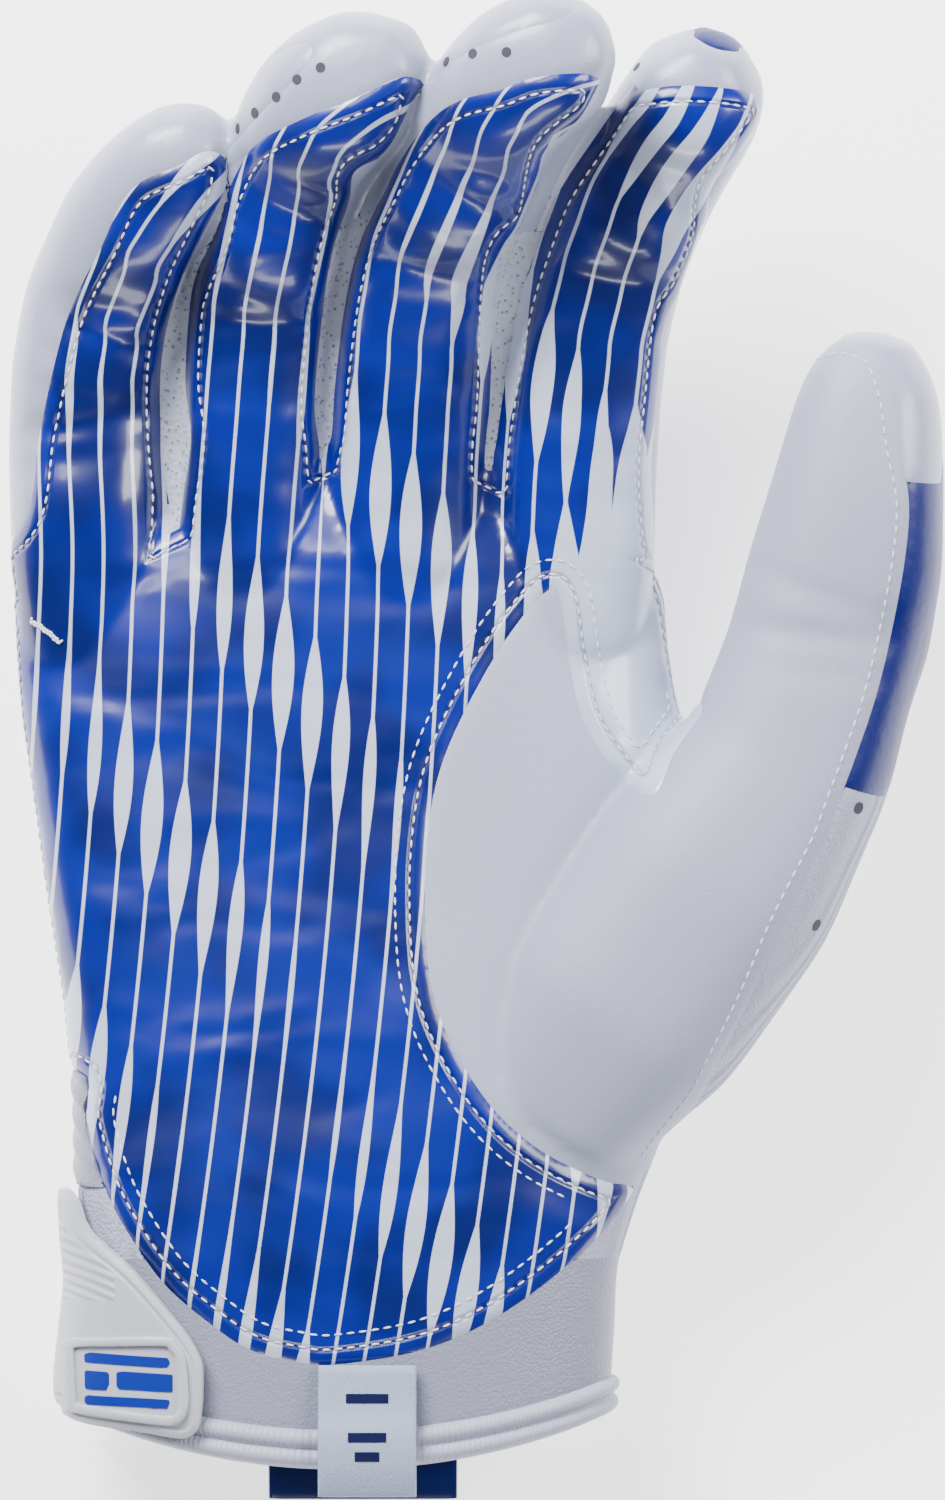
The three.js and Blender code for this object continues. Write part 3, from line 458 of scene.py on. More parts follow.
finger_strips = {
    "little": [
        (-60.0, 30.9), (-56.0, 38.0), (-47.8, 45.6), (-45.6, 58.8), (-42.6, 72.0), (-40.0, 79.1),
        (-36.8, 85.3), (-32.3, 94.1), (-25.0, 97.8), (-21.4, 99.8), (-18.8, 99.2), (-17.6, 97.0),
        (-18.6, 93.6), (-22.0, 86.7), (-25.0, 80.1), (-27.2, 72.0), (-27.9, 63.2), (-27.2, 51.4),
        (-25.7, 44.1), (-25.0, 30.9),
    ],
    "ring": [
        (-25.0, 30.9), (-25.0, 45.6), (-23.5, 57.3), (-24.3, 66.1), (-23.5, 77.9), (-22.0, 83.8),
        (-19.1, 91.1), (-14.7, 100.0), (-7.3, 104.4), (0.0, 107.3), (6.6, 110.4), (9.6, 110.6),
        (11.6, 109.2), (11.2, 106.6), (8.6, 103.0), (5.1, 99.2), (0.7, 96.7), (0.0, 92.6),
        (-2.2, 86.0), (-3.7, 77.9), (-5.1, 63.2), (-4.4, 54.4), (-4.4, 33.8),
    ],
    "middle": [
        (-4.4, 33.8), (-4.4, 54.4), (-2.9, 57.3), (-2.2, 66.1), (-0.7, 77.9), (1.5, 86.7),
        (5.1, 94.1), (7.3, 98.5), (11.8, 104.4), (16.2, 107.3), (22.0, 108.8), (26.5, 110.5),
        (32.0, 111.2), (35.4, 111.0), (37.4, 109.4), (35.6, 105.6), (32.3, 102.9), (28.7, 99.2),
        (26.5, 89.7), (22.8, 86.0), (21.3, 79.4), (20.6, 63.2), (19.8, 53.7), (19.8, 33.8),
    ],
    "index": [
        (20.0, 39.0), (20.1, 52.9), (21.3, 55.9), (22.8, 66.1), (25.0, 77.9), (27.9, 86.7),
        (30.9, 94.1), (36.8, 102.9), (41.5, 109.5), (42.6, 108.8), (48.5, 109.5), (57.3, 108.8),
        (62.2, 106.6), (61.0, 104.4), (56.6, 98.5), (53.2, 94.1), (52.2, 86.7), (49.2, 79.4),
        (46.7, 75.0), (45.3, 63.2), (44.4, 52.9), (45.0, 42.7), (45.6, 38.0),
    ],
}
side_seam_height = 14.0
film_thickness = 1.1
film_proud = 0.4
film_low = 0.22  # the strips end this share of the half thickness above a finger's middle
edge_drop = 0.12
stitch_inset = 2.3
snap = 0.03  # points nearer than this to a cut count as inside it


def rounded(outline, steps=5):
    """Closed curve through the points of an outline."""
    points = np.array(outline)
    before, after, beyond = (np.roll(points, k, axis=0) for k in (1, -1, -2))
    out = []
    for t in np.arange(steps) / steps:
        out.append(0.5 * (2 * points + (after - before) * t
                          + (2 * before - 5 * points + 4 * after - beyond) * t ** 2
                          + (3 * points - before - 3 * after + beyond) * t ** 3))
    return np.stack(out, 1).reshape(-1, 2)


def outside(points, outline):
    """Distance outside a closed outline, negative inside it."""
    nearest = np.full(len(points), 1e9)
    inside = np.zeros(len(points), dtype=bool)
    for a, b in zip(outline, np.roll(outline, -1, axis=0)):
        edge = b - a
        length = max((edge ** 2).sum(), 1e-12)
        t = np.clip(((points - a) @ edge) / length, 0, 1)
        nearest = np.minimum(nearest, ((points - a - t[:, None] * edge) ** 2).sum(1))
        if a[1] != b[1]:
            crosses = (a[1] > points[:, 1]) != (b[1] > points[:, 1])
            inside ^= crosses & (points[:, 0] < edge[0] * (points[:, 1] - a[1]) / edge[1] + a[0])
    return np.where(inside, -1, 1) * np.sqrt(nearest)


def cut_to(field, carried):
    """Points, triangles and carried values of the form where the field is below zero."""
    field = np.where(np.abs(field) < snap, -snap, field)
    below = field[form_triangles] < 0
    counts = below.sum(1)
    keys, starts = [], []
    kept = [form_triangles[counts == 3]]
    total = len(form)

    def edge_key(a, b):
        return np.minimum(a, b) * total + np.maximum(a, b)

    one = form_triangles[counts == 1]
    turn = below[counts == 1].argmax(1)
    a, b, c = (one[np.arange(len(one)), (turn + k) % 3] for k in range(3))
    two = form_triangles[counts == 2]
    turn = (~below[counts == 2]).argmax(1)
    d, e, f = (two[np.arange(len(two)), (turn + k) % 3] for k in range(3))
    cuts = [edge_key(a, b), edge_key(a, c), edge_key(d, e), edge_key(d, f)]
    unique, place = np.unique(np.concatenate(cuts), return_inverse=True)
    ab, ac, de, df = np.split(total + place.ravel(), np.cumsum([len(k) for k in cuts])[:-1])
    kept += [np.stack([a, ab, ac], 1), np.stack([e, f, df], 1), np.stack([e, df, de], 1)]
    low, high = unique // total, unique % total
    share = (field[low] / (field[low] - field[high]))[:, None]
    grown = [np.concatenate([value, value[low] * (1 - share) + value[high] * share]) for value in carried]
    depth = np.concatenate([-field, np.zeros(len(unique))])
    triangles = np.concatenate(kept)
    used, index = np.unique(triangles, return_inverse=True)
    return index.reshape(-1, 3), depth[used], [value[used] for value in grown]


def main_parts(triangles, count, smallest):
    """Triangles of the connected parts that have at least a number of triangles."""
    label = np.arange(count)
    while True:
        least = label[triangles].min(1)
        before = label.copy()
        for corner in range(3):
            np.minimum.at(label, triangles[:, corner], least)
        label = label[label]
        if (label == before).all():
            break
    sizes = np.bincount(label[triangles[:, 0]], minlength=count)
    return triangles[sizes[label[triangles[:, 0]]] >= smallest]


def panel(name, field, top, under, material, extra=None, smallest=60, lift=None):
    """A closed sheet cut from the form: top gives its height from the distance to its edge."""
    extra = extra or {}
    lift = np.zeros(len(form)) if lift is None else lift
    carried = [form, form_normals, np.column_stack([seen, form[:, 2], lift])]
    carried += [np.asarray(value, dtype=float).reshape(len(form), -1) for value in extra.values()]
    triangles, depth, (points, normals, plane, *more) = cut_to(field, carried)
    triangles = main_parts(triangles, len(points), smallest)
    used, index = np.unique(triangles, return_inverse=True)
    triangles = index.reshape(-1, 3)
    points, normals, plane, depth = points[used], normals[used], plane[used], depth[used]
    normals /= np.linalg.norm(normals, axis=1)[:, None]
    count = len(points)
    upper = points + normals * (top(depth) + plane[:, 3])[:, None]
    lower = points + normals * under
    edges = np.concatenate([triangles[:, [0, 1]], triangles[:, [1, 2]], triangles[:, [2, 0]]])
    forward = edges[:, 0] * count + edges[:, 1]
    backward = edges[:, 1] * count + edges[:, 0]
    rim = edges[~np.isin(forward, backward)]
    a, b = rim[:, 0], rim[:, 1]
    faces = np.concatenate([triangles, triangles[:, ::-1] + count,
                            np.stack([b, a, a + count], 1), np.stack([b, a + count, b + count], 1)])
    made = new_object(name, np.concatenate([upper, lower]), faces, material)
    mesh = made.data
    mesh.shade_smooth()
    mesh.set_sharp_from_angle(angle=math.radians(55))
    values = {"edge_distance": depth, "seen_place": plane[:, :3]}
    values.update({key: value[used] for key, value in zip(extra, more)})
    for key, value in values.items():
        flat = np.concatenate([value, value]).reshape(2 * count, -1)
        kind = "FLOAT" if flat.shape[1] == 1 else "FLOAT_VECTOR"
        layer = mesh.attributes.new(key, kind, "POINT")
        layer.data.foreach_set("value" if kind == "FLOAT" else "vector", flat.ravel())
    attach(made, "root")
    return made


def edge_roll(base, reach=0.8):
    """Height of a sheet that rolls down to its edge."""
    return lambda depth: base * (1 - np.exp(-depth / reach)) - edge_drop * np.exp(-depth / reach)


# The print: each line is a cell; its white share swells and thins in staggered waves. The lines
# bow a little over the palm, run straight up each finger and turn all white on the web.
line_spacing = 4.5
line_share, swell_share, web_share, edge_blur = 0.055, 0.30, 0.55, 0.012  # of a cell
# Radians for each millimetre along a line, and from each line to the next
swell_along, swell_stagger, slow_along, slow_stagger = 0.14, 0.83, 0.047, -0.31
straight_from, straight_over = 0.05, 0.3
line_bow, bow_from = 0.0006, 60.0
web_patch = [(32.0, 34.0), (34.0, 12.0), (44.0, 0.0), (58.0, 12.0), (50.0, 50.0), (45.0, 54.0), (40.0, 44.0)]
web_fade_reach = 9.0
palm_outline = rounded(heel_edge + thumb_seam + web_edge)
palm_field = np.maximum(outside(seen, palm_outline), side_seam_height - form[:, 2])
line_across = seen[:, 0] + line_bow * (seen[:, 1] - bow_from) ** 2 * np.sign(bow_from - seen[:, 1])
for name, strip in finger_strips.items():
    place = places[name]
    limit = np.maximum(own[name], (film_low - place["n"]) * place["half_thick"])
    palm_field = np.minimum(palm_field, np.maximum(outside(seen, rounded(strip)), limit))
    straight = FINGERS[name]["root"][0] + place["s"] * place["half_width"]
    blend = np.clip((place["at"] - straight_from) / straight_over, 0, 1)
    blend = blend * blend * (3 - 2 * blend) * (own[name] < 0)
    line_across = line_across * (1 - blend) + straight * blend
web_fade = np.clip(1.0 - np.maximum(outside(seen, rounded(web_patch)), 0) / web_fade_reach, 0, 1)


def add_node(tree, kind, inputs=(), **settings):
    """A node with its settings; each input is a value or the socket it is linked from."""
    node = tree.nodes.new(kind)
    for name, value in settings.items():
        setattr(node, name, value)
    for key, value in dict(inputs).items():
        if isinstance(value, bpy.types.NodeSocket):
            tree.links.new(value, node.inputs[key])
        else:
            node.inputs[key].default_value = value
    return node


def work_out(tree, known, steps):
    """Adds a maths node for each step, keeps its result under its name and gives the last one."""
    for result, operation, *given in steps:
        inputs = {place: known.get(value, value) for place, value in enumerate(given)}
        known[result] = add_node(tree, "ShaderNodeMath", inputs, operation=operation).outputs[0]
    return known[steps[-1][0]]


def seam_groove(tree, edge, inset, half=0.7):
    """0 on the seam line at a distance inside the edge, rising to 1 a little way beside it."""
    apart = work_out(tree, {"edge": edge}, [("off", "SUBTRACT", "edge", inset), ("apart", "ABSOLUTE", "off")])
    return add_node(tree, "ShaderNodeMapRange", {"Value": apart, "From Max": half},
                    interpolation_type="SMOOTHSTEP").outputs["Result"]


# Glossy film: deep blue with clear soft reflections, broken up by long shallow wrinkles and by the
# groove along the seam. Soft random patches of darker blue are painted shade, and along the seam the
# colour is darkened as painted shade, so the white turns a little darker between the stitches.
film_blue, film_shade_blue, print_white = "#00157c", "#000e58", "#b6bed4"
film, tree, shader = new_material("glossy grip film on leather", film_blue, 0.32, {
    "Coat Weight": 0.6, "Coat Roughness": 0.13})
read = {name: add_node(tree, "ShaderNodeAttribute", attribute_name=name).outputs
        for name in ("line_across", "seen_place", "web_fade", "edge_distance")}
place, edge = read["seen_place"]["Vector"], read["edge_distance"]["Fac"]
known = {"across": read["line_across"]["Fac"], "web": read["web_fade"]["Fac"],
         "along": add_node(tree, "ShaderNodeSeparateXYZ", {0: place}).outputs["Y"]}
past_white = work_out(tree, known, [
    # result, operation, then its inputs by name or value
    ("cells", "DIVIDE", "across", line_spacing),
    ("cell", "ROUND", "cells"),
    ("off line", "SUBTRACT", "cells", "cell"),
    ("beside", "ABSOLUTE", "off line"),
    ("stagger", "MULTIPLY", "cell", swell_stagger),
    ("turn", "MULTIPLY_ADD", "along", swell_along, "stagger"),
    ("wave", "SINE", "turn"),
    ("lens", "MAXIMUM", "wave", 0.0),
    ("slow stagger", "MULTIPLY", "cell", slow_stagger),
    ("slow turn", "MULTIPLY_ADD", "along", slow_along, "slow stagger"),
    ("slow wave", "SINE", "slow turn"),
    ("strength", "MULTIPLY_ADD", "slow wave", 0.5, 0.5),
    ("swell", "MULTIPLY", "lens", "strength"),
    ("white", "MULTIPLY_ADD", "swell", swell_share, line_share),
    ("white with web", "MULTIPLY_ADD", "web", web_share, "white"),
    ("past white", "SUBTRACT", "beside", "white with web"),
])
blue_share = add_node(tree, "ShaderNodeMapRange", {
    "Value": past_white, "From Min": -edge_blur, "From Max": edge_blur})
# Painted shade: soft random patches where the film's blue turns darker.
painted_shade_noise = add_node(tree, "ShaderNodeTexNoise", {"Vector": place, "Scale": 0.06, "Detail": 1.5})
patches = add_node(tree, "ShaderNodeMapRange", {
    "Value": painted_shade_noise.outputs["Fac"], "From Min": 0.36, "From Max": 0.6}, interpolation_type="SMOOTHSTEP")
blues_with_painted_shade = add_node(tree, "ShaderNodeMix", {
    "Factor": patches.outputs["Result"], "A": linear(film_shade_blue), "B": linear(film_blue)}, data_type="RGBA")
printed = add_node(tree, "ShaderNodeMix", {
    "Factor": blue_share.outputs["Result"], "A": linear(print_white), "B": blues_with_painted_shade.outputs["Result"],
}, data_type="RGBA")
# Painted shade: the colour darkens along the seam's groove, between the stitches.
painted_seam_shade = add_node(tree, "ShaderNodeMapRange", {
    "Value": seam_groove(tree, edge, stitch_inset, 0.45), "To Min": 0.62, "To Max": 1.0})
shaded = add_node(tree, "ShaderNodeVectorMath", {
    0: printed.outputs["Result"], 1: painted_seam_shade.outputs["Result"]}, operation="MULTIPLY")
tree.links.new(shaded.outputs["Vector"], shader.inputs["Base Color"])
stretched = add_node(tree, "ShaderNodeMapping", {
    "Vector": place, "Rotation": (0.0, 0.0, 0.35), "Scale": (0.042, 0.092, 0.06)})
wrinkle = add_node(tree, "ShaderNodeTexNoise", {
    "Vector": stretched.outputs[0], "Scale": 1.0, "Detail": 1.0, "Roughness": 0.4, "Distortion": 0.4})
known = {"wrinkle": wrinkle.outputs["Fac"], "groove": seam_groove(tree, edge, stitch_inset)}
surface = work_out(tree, known, [
    ("seam", "MULTIPLY", "groove", 0.45), ("surface", "MULTIPLY_ADD", "wrinkle", 2.7, "seam")])
bump = add_node(tree, "ShaderNodeBump", {"Height": surface, "Strength": 1.0, "Distance": 0.5 * MM})
for name in ("Normal", "Coat Normal"):
    tree.links.new(bump.outputs["Normal"], shader.inputs[name])
palm = panel("palm_leather", palm_field, edge_roll(film_proud), -film_thickness, film,
             {"line_across": line_across, "web_fade": web_fade})
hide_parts("palm_panel")


# Palm stitching: white thread in small stitches 2.3 mm inside every edge of the palm leather, with
# a second row beside it along the heel and round the thumb, and a dense zigzag bar on the outer side.
stitch_pitch, stitch_length, thread_radius = 1.8, 1.25, 0.17
second_inset = 4.4
shortest_seam = 6.0
seam_smoothing = 4
# Bonded polyester thread: a dull bright white, so that each stitch shows by itself
thread, _, _ = new_material("white bonded polyester thread", "#d2d6e2", 0.6)


def seam_lines(field, inset, height, keep=None):
    """Lines on the form at a distance inside an edge, as arrays of points."""
    value = np.where(np.abs(field + inset) < 1e-4, 1e-4, field + inset)
    below = value[form_triangles] < 0
    cut = form_triangles[(below.sum(1) == 1) | (below.sum(1) == 2)]
    links, spots = {}, {}
    for corners in cut:
        ends = []
        for a, b in ((0, 1), (1, 2), (2, 0)):
            low, high = sorted((int(corners[a]), int(corners[b])))
            if (value[low] < 0) != (value[high] < 0):
                ends.append((low, high))
        if keep is not None and not all(keep[low] and keep[high] for low, high in ends):
            continue
        for this, other in (ends, ends[::-1]):
            links.setdefault(this, []).append(other)
            share = value[this[0]] / (value[this[0]] - value[this[1]])
            pair = form[list(this)] + form_normals[list(this)] * height
            spots[this] = pair[0] * (1 - share) + pair[1] * share
    lines, done = [], set()
    for start in sorted(links, key=lambda spot: len(links[spot])):
        if start in done:
            continue
        line, here = [], start
        while here is not None:
            done.add(here)
            line.append(spots[here])
            here = next((other for other in links[here] if other not in done), None)
        line = np.array(line)
        if np.linalg.norm(np.diff(line, axis=0), axis=1).sum() > shortest_seam:
            lines.append(np.column_stack([smoothed(line[:, k], seam_smoothing) for k in range(3)]))
    return lines


def new_group(name, inputs, output):
    """An empty geometry node group with named inputs of given kinds, and those inputs' sockets."""
    group = bpy.data.node_groups.new(name, "GeometryNodeTree")
    for key, kind in inputs.items():
        group.interface.new_socket(key, in_out="INPUT", socket_type=f"NodeSocket{kind}")
    group.interface.new_socket(output, in_out="OUTPUT", socket_type="NodeSocketGeometry")
    return group, add_node(group, "NodeGroupInput").outputs


def set_out(group, instances, smooth, material, output):
    """Ends a node group: its instances made real, shaded and given a material."""
    real = add_node(group, "GeometryNodeRealizeInstances", {"Geometry": instances})
    shaded = add_node(group, "GeometryNodeSetShadeSmooth", {
        "Geometry": real.outputs["Geometry"], "Shade Smooth": smooth})
    painted = add_node(group, "GeometryNodeSetMaterial", {
        "Geometry": shaded.outputs["Geometry"], "Material": material})
    add_node(group, "NodeGroupOutput", {output: painted.outputs["Geometry"]})


def stitch_group():
    """Geometry nodes that set rounded stitches end to end along lines."""
    group, given = new_group("stitch row", {
        "Lines": "Geometry", "Pitch": "Float", "Stitch length": "Float", "Thread radius": "Float",
        "Thread": "Material"}, "Stitches")
    curve = add_node(group, "GeometryNodeMeshToCurve", {"Mesh": given["Lines"]}).outputs["Curve"]
    spaced = add_node(group, "GeometryNodeResampleCurve", {"Curve": curve, "Length": given["Pitch"]},
                      mode="LENGTH").outputs["Curve"]
    tangent = add_node(group, "GeometryNodeInputTangent").outputs["Tangent"]
    turned = add_node(group, "FunctionNodeAlignRotationToVector", {"Vector": tangent},
                      axis="X").outputs["Rotation"]
    bead = add_node(group, "GeometryNodeMeshUVSphere", {"Segments": 8, "Rings": 6, "Radius": 1.0})
    half = add_node(group, "ShaderNodeMath", {0: given["Stitch length"], 1: 0.5}, operation="MULTIPLY")
    size = add_node(group, "ShaderNodeCombineXYZ", {
        "X": half.outputs[0], "Y": given["Thread radius"], "Z": given["Thread radius"]})
    placed = add_node(group, "GeometryNodeInstanceOnPoints", {
        "Points": spaced, "Instance": bead.outputs["Mesh"], "Rotation": turned, "Scale": size.outputs[0]})
    set_out(group, placed.outputs["Instances"], True, given["Thread"], "Stitches")
    return group


def grown(name, points, links, group, settings, facing=None):
    """An object with the mesh that a node group makes from points and the links between them."""
    mesh = bpy.data.meshes.new(name)
    mesh.from_pydata((points * MM).tolist(), links, [])
    if facing is not None:
        layer = mesh.attributes.new("facing", "FLOAT_VECTOR", "POINT")
        layer.data.foreach_set("vector", facing.ravel())
    holder = bpy.data.objects.new(name, mesh)
    bpy.context.collection.objects.link(holder)
    made = holder.modifiers.new("grow", "NODES")
    made.node_group = group
    sockets = {item.name: item.identifier for item in group.interface.items_tree if item.in_out == "INPUT"}
    for key, value in settings.items():
        made[sockets[key]] = value
    holder.update_tag()
    depsgraph = bpy.context.evaluated_depsgraph_get()
    mesh = bpy.data.meshes.new_from_object(holder.evaluated_get(depsgraph))
    holder.modifiers.clear()
    holder.data = mesh
    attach(holder, "root")
    return holder


stitches = stitch_group()


def sewn(name, lines, pitch=stitch_pitch, length=stitch_length, radius=thread_radius):
    """A row of stitches along each line."""
    links, first = [], 0
    for line in lines:
        links += [(k, k + 1) for k in range(first, first + len(line) - 1)]
        first += len(line)
    return grown(name, np.concatenate(lines), links, stitches, {
        "Pitch": pitch * MM, "Stitch length": length * MM, "Thread radius": radius * MM, "Thread": thread})


def beside_line(points, line):
    """Distance to an open line of points."""
    nearest = np.full(len(points), 1e9)
    for a, b in zip(np.array(line[:-1]), np.array(line[1:])):
        edge = b - a
        t = np.clip(((points - a) @ edge) / (edge ** 2).sum(), 0, 1)
        nearest = np.minimum(nearest, ((points - a - t[:, None] * edge) ** 2).sum(1))
    return np.sqrt(nearest)


from_seam = np.minimum(beside_line(seen, heel_edge[2:]), beside_line(seen, thumb_seam))
heel_corner, corner_reach = (40.0, -53.0), 9.0
from_corner = np.hypot(seen[:, 0] - heel_corner[0], seen[:, 1] - heel_corner[1])
second_row = (from_seam < second_inset + 2.0) & (from_corner > corner_reach)
thread_height = film_proud + 0.02
rows = seam_lines(palm_field, stitch_inset, thread_height)
rows += seam_lines(palm_field, second_inset, thread_height, keep=second_row)
sewn("palm_stitches", rows)


def on_form(spots, height):
    """Highest points of the form under places seen by the camera, raised by a height, and normals."""
    out = [int((((seen - spot) ** 2).sum(1) - 0.02 * form[:, 2]).argmin()) for spot in spots]
    return form[out] + form_normals[out] * height, form_normals[out]


# The bar: a curve fitted over a few places on the film keeps its close turns even
bar_ends = [(-46.5, 31.1), (-42.6, 27.9)]
bar_turns = 19
bar_half_width = 0.3
fit_at = np.linspace(0, 1, 9)
fitted, fitted_normals = on_form(np.linspace(*bar_ends, len(fit_at)), film_proud + 0.15)
along_bar = np.linspace(0, 1, bar_turns)
bar_line = np.column_stack([np.polyval(np.polyfit(fit_at, fitted[:, k], 2), along_bar) for k in range(3)])
bar_side = np.cross(fitted[-1] - fitted[0], fitted_normals.mean(0))
bar_side *= bar_half_width / np.linalg.norm(bar_side)
bar_line += bar_side * np.where(np.arange(bar_turns) % 2, 1, -1)[:, None]
sewn("bar_tack", [bar_line], pitch=0.5, length=0.8, radius=0.2)


# Thumb leather: matt white grip leather over the ball and the palm side of the thumb, lapped
# under the palm leather and sewn along its outer edge and round the tip.
thumb_edge = [
    (49.0, 17.0), (47.0, 24.0), (47.0, 36.0), (50.0, 50.0), (55.0, 62.0), (60.0, 68.5), (65.4, 70.3),
    (67.9, 70.9), (72.0, 72.0), (75.7, 71.0), (77.9, 69.1), (79.8, 63.2), (80.8, 55.9), (82.2, 48.5),
    (81.6, 39.7), (79.4, 27.9), (77.2, 19.1), (74.2, 10.3), (72.0, 4.4), (69.8, -1.5), (66.1, -8.8),
    (63.2, -14.7), (58.8, -25.0), (54.4, -33.8), (51.4, -39.7), (45.6, -47.0), (41.6, -52.2),
]
ball_height = 17.0
leather_thickness = 1.1
thumb_inset, thumb_thread_height = 1.9, 0.14
clear_of_palm = 4.5
# Matt grip leather: an even cool white with only a faint broad sheen
matt, tree, shader = new_material("matt grip leather", "#9a9fb4", 0.55)


def fine_grain(tree, shader, scale, depth):
    """Fine leather grain, scale in cells for each millimetre."""
    place = add_node(tree, "ShaderNodeTexCoord").outputs["Object"]
    grain = add_node(tree, "ShaderNodeTexNoise", {"Vector": place, "Scale": scale / MM, "Detail": 3.0})
    bump = add_node(tree, "ShaderNodeBump", {
        "Height": grain.outputs["Fac"], "Strength": 0.5, "Distance": depth * MM})
    tree.links.new(bump.outputs["Normal"], shader.inputs["Normal"])


fine_grain(tree, shader, 2.2, 0.12)

# Over the ball the leather ends at a height; far up it ends at the thumb's own sides
thumb = places["thumb"]
far_from, far_over, held_within, held_fade = 0.15, 0.25, 1.6, 0.3
wrap_share, wrap_slope = 0.6, 1.5
web_right_of, web_above = 44.0, 24.0
far_up = np.clip((thumb["at"] - far_from) / far_over, 0, 1)
far_up = far_up * np.clip((held_within - thumb["r"]) / held_fade, 0, 1)
inner_wrap = wrap_share * np.clip(-wrap_slope * thumb["s"], 0, 1)
thumb_limit = (1 - far_up) * (ball_height - form[:, 2])
thumb_limit -= far_up * (thumb["n"] + inner_wrap) * thumb["half_thick"]
beside_index = (form[:, 0] > web_right_of) & (form[:, 1] > web_above)
thumb_limit = np.maximum(thumb_limit, np.where(beside_index, own["thumb"], -9.0))
thumb_field = np.maximum(outside(seen, rounded(thumb_seam + thumb_edge)), thumb_limit)
taken = [palm_field]


def left_over(field):
    """The part of a field that no earlier panel covers."""
    return np.maximum.reduce([field] + [-other for other in taken])


made = panel("thumb_leather", left_over(thumb_field), edge_roll(0.12), -leather_thickness, matt)
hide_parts("thumb_panel")
taken.append(thumb_field)
sewn("thumb_stitches", seam_lines(thumb_field, thumb_inset, thumb_thread_height,
                                  keep=palm_field > clear_of_palm))


# Thumb tip and thumb back: white leather over the end, and glossy blue leather down the back with
# its knuckle bump. Both tuck under the thumb leather's edge.
tip_start = 0.85
back_start = 0.535
knuckle_at, knuckle_rise, knuckle_reach, knuckle_side = 0.66, 1.6, 7.0, 0.4
tip_lean, tip_side, back_lean, back_side = 0.10, 0.4, 0.16, 0.1
# Satin leather: a cool white with broad soft highlights along the fingertips
white_leather, tree, shader = new_material("satin white leather", "#999eb5", 0.36, {
    "Coat Weight": 0.25, "Coat Roughness": 0.2})
fine_grain(tree, shader, 1.4, 0.1)
# Glossy leather: a deep blue with one soft line of light
blue_leather, tree, shader = new_material("glossy blue leather", "#000e5e", 0.4, {
    "Coat Weight": 0.1, "Coat Roughness": 0.2, "Specular IOR Level": 0.35})
fine_grain(tree, shader, 0.5, 0.2)
length = FINGERS["thumb"]["length"]
tip_slant = tip_lean * np.clip(tip_side - thumb["n"], 0, 1)
tip_field = np.maximum((tip_start + tip_slant - thumb["at"]) * length, own["thumb"])
made = panel("thumb_end", left_over(tip_field), edge_roll(0.05), -leather_thickness, white_leather)
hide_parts("thumb_tip")
taken.append(tip_field)
knuckle = knuckle_rise * np.exp(-((thumb["at"] - knuckle_at) * length / knuckle_reach) ** 2)
back_slant = back_lean * np.clip(-thumb["n"] - back_side, -0.2, 0.6)
back_field = np.maximum((back_start + back_slant - thumb["at"]) * length, own["thumb"])
made = panel("thumb_knuckle", left_over(back_field), edge_roll(0.05), -leather_thickness, blue_leather,
             lift=knuckle * np.clip(-thumb["n"] + knuckle_side, 0, 1))
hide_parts("thumb_back")
taken.append(back_field)


# Finger gussets: grey knit mesh between neighbouring fingers and across the web at their root.
gusset_pairs = (("little", "ring"), ("ring", "middle"), ("middle", "index"))
gusset_shares = (0.12, 0.2, 0.34, 0.48, 0.62)
gusset_reach = 0.7
gusset_floor = 3.0
knit_pitch = 0.9
# Knit mesh: a dull grey with small dark holes of painted shade, drawn a little coarser than real so that they
# show
mesh_knit, tree, shader = new_material("grey knit mesh", "#a9acb8", 0.85)


def knit_bump(tree, shader, pitch, depth):
    """Small loops of a knit; gives their distances for a colour."""
    place = add_node(tree, "ShaderNodeTexCoord").outputs["Object"]
    scaled = add_node(tree, "ShaderNodeMapping", {"Vector": place, "Scale": [1 / pitch / MM] * 3})
    loops = add_node(tree, "ShaderNodeTexVoronoi", {"Vector": scaled.outputs[0], "Scale": 1.0})
    bump = add_node(tree, "ShaderNodeBump", {
        "Height": loops.outputs["Distance"], "Strength": 0.8, "Distance": depth * MM}, invert=True)
    tree.links.new(bump.outputs["Normal"], shader.inputs["Normal"])
    return loops.outputs["Distance"]


# Painted shade: the knit's holes are darkened in the colour, from a dull grey to a darker grey.
around_hole = add_node(tree, "ShaderNodeMapRange", {
    "Value": knit_bump(tree, shader, knit_pitch, 0.25), "From Min": 0.1, "From Max": 0.35})
shade = add_node(tree, "ShaderNodeMix", {
    "Factor": around_hole.outputs["Result"], "A": linear("#62667a"), "B": linear("#a6aabb"),
}, data_type="RGBA")
tree.links.new(shade.outputs["Result"], shader.inputs["Base Color"])
for left, right in gusset_pairs:
    sides = []
    for name, sign in ((left, 1), (right, -1)):
        line = finger_lines[name]
        picks = [int(share * (len(line["at"]) - 1)) for share in gusset_shares]
        reach = (sign * gusset_reach * line["half_width"][picks])[:, None]
        sides.append(line["centre"][picks] + reach * line["side"][picks])
    outline = np.concatenate([sides[0], sides[1][::-1]])[:, :2]
    field = np.maximum(outside(form[:, :2], outline), gusset_floor - form[:, 2])
    made = panel(f"mesh_{left}_{right}", left_over(field), edge_roll(0.05), -leather_thickness, mesh_knit)
    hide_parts(f"gusset_{left}_{right}")
    taken.append(field)


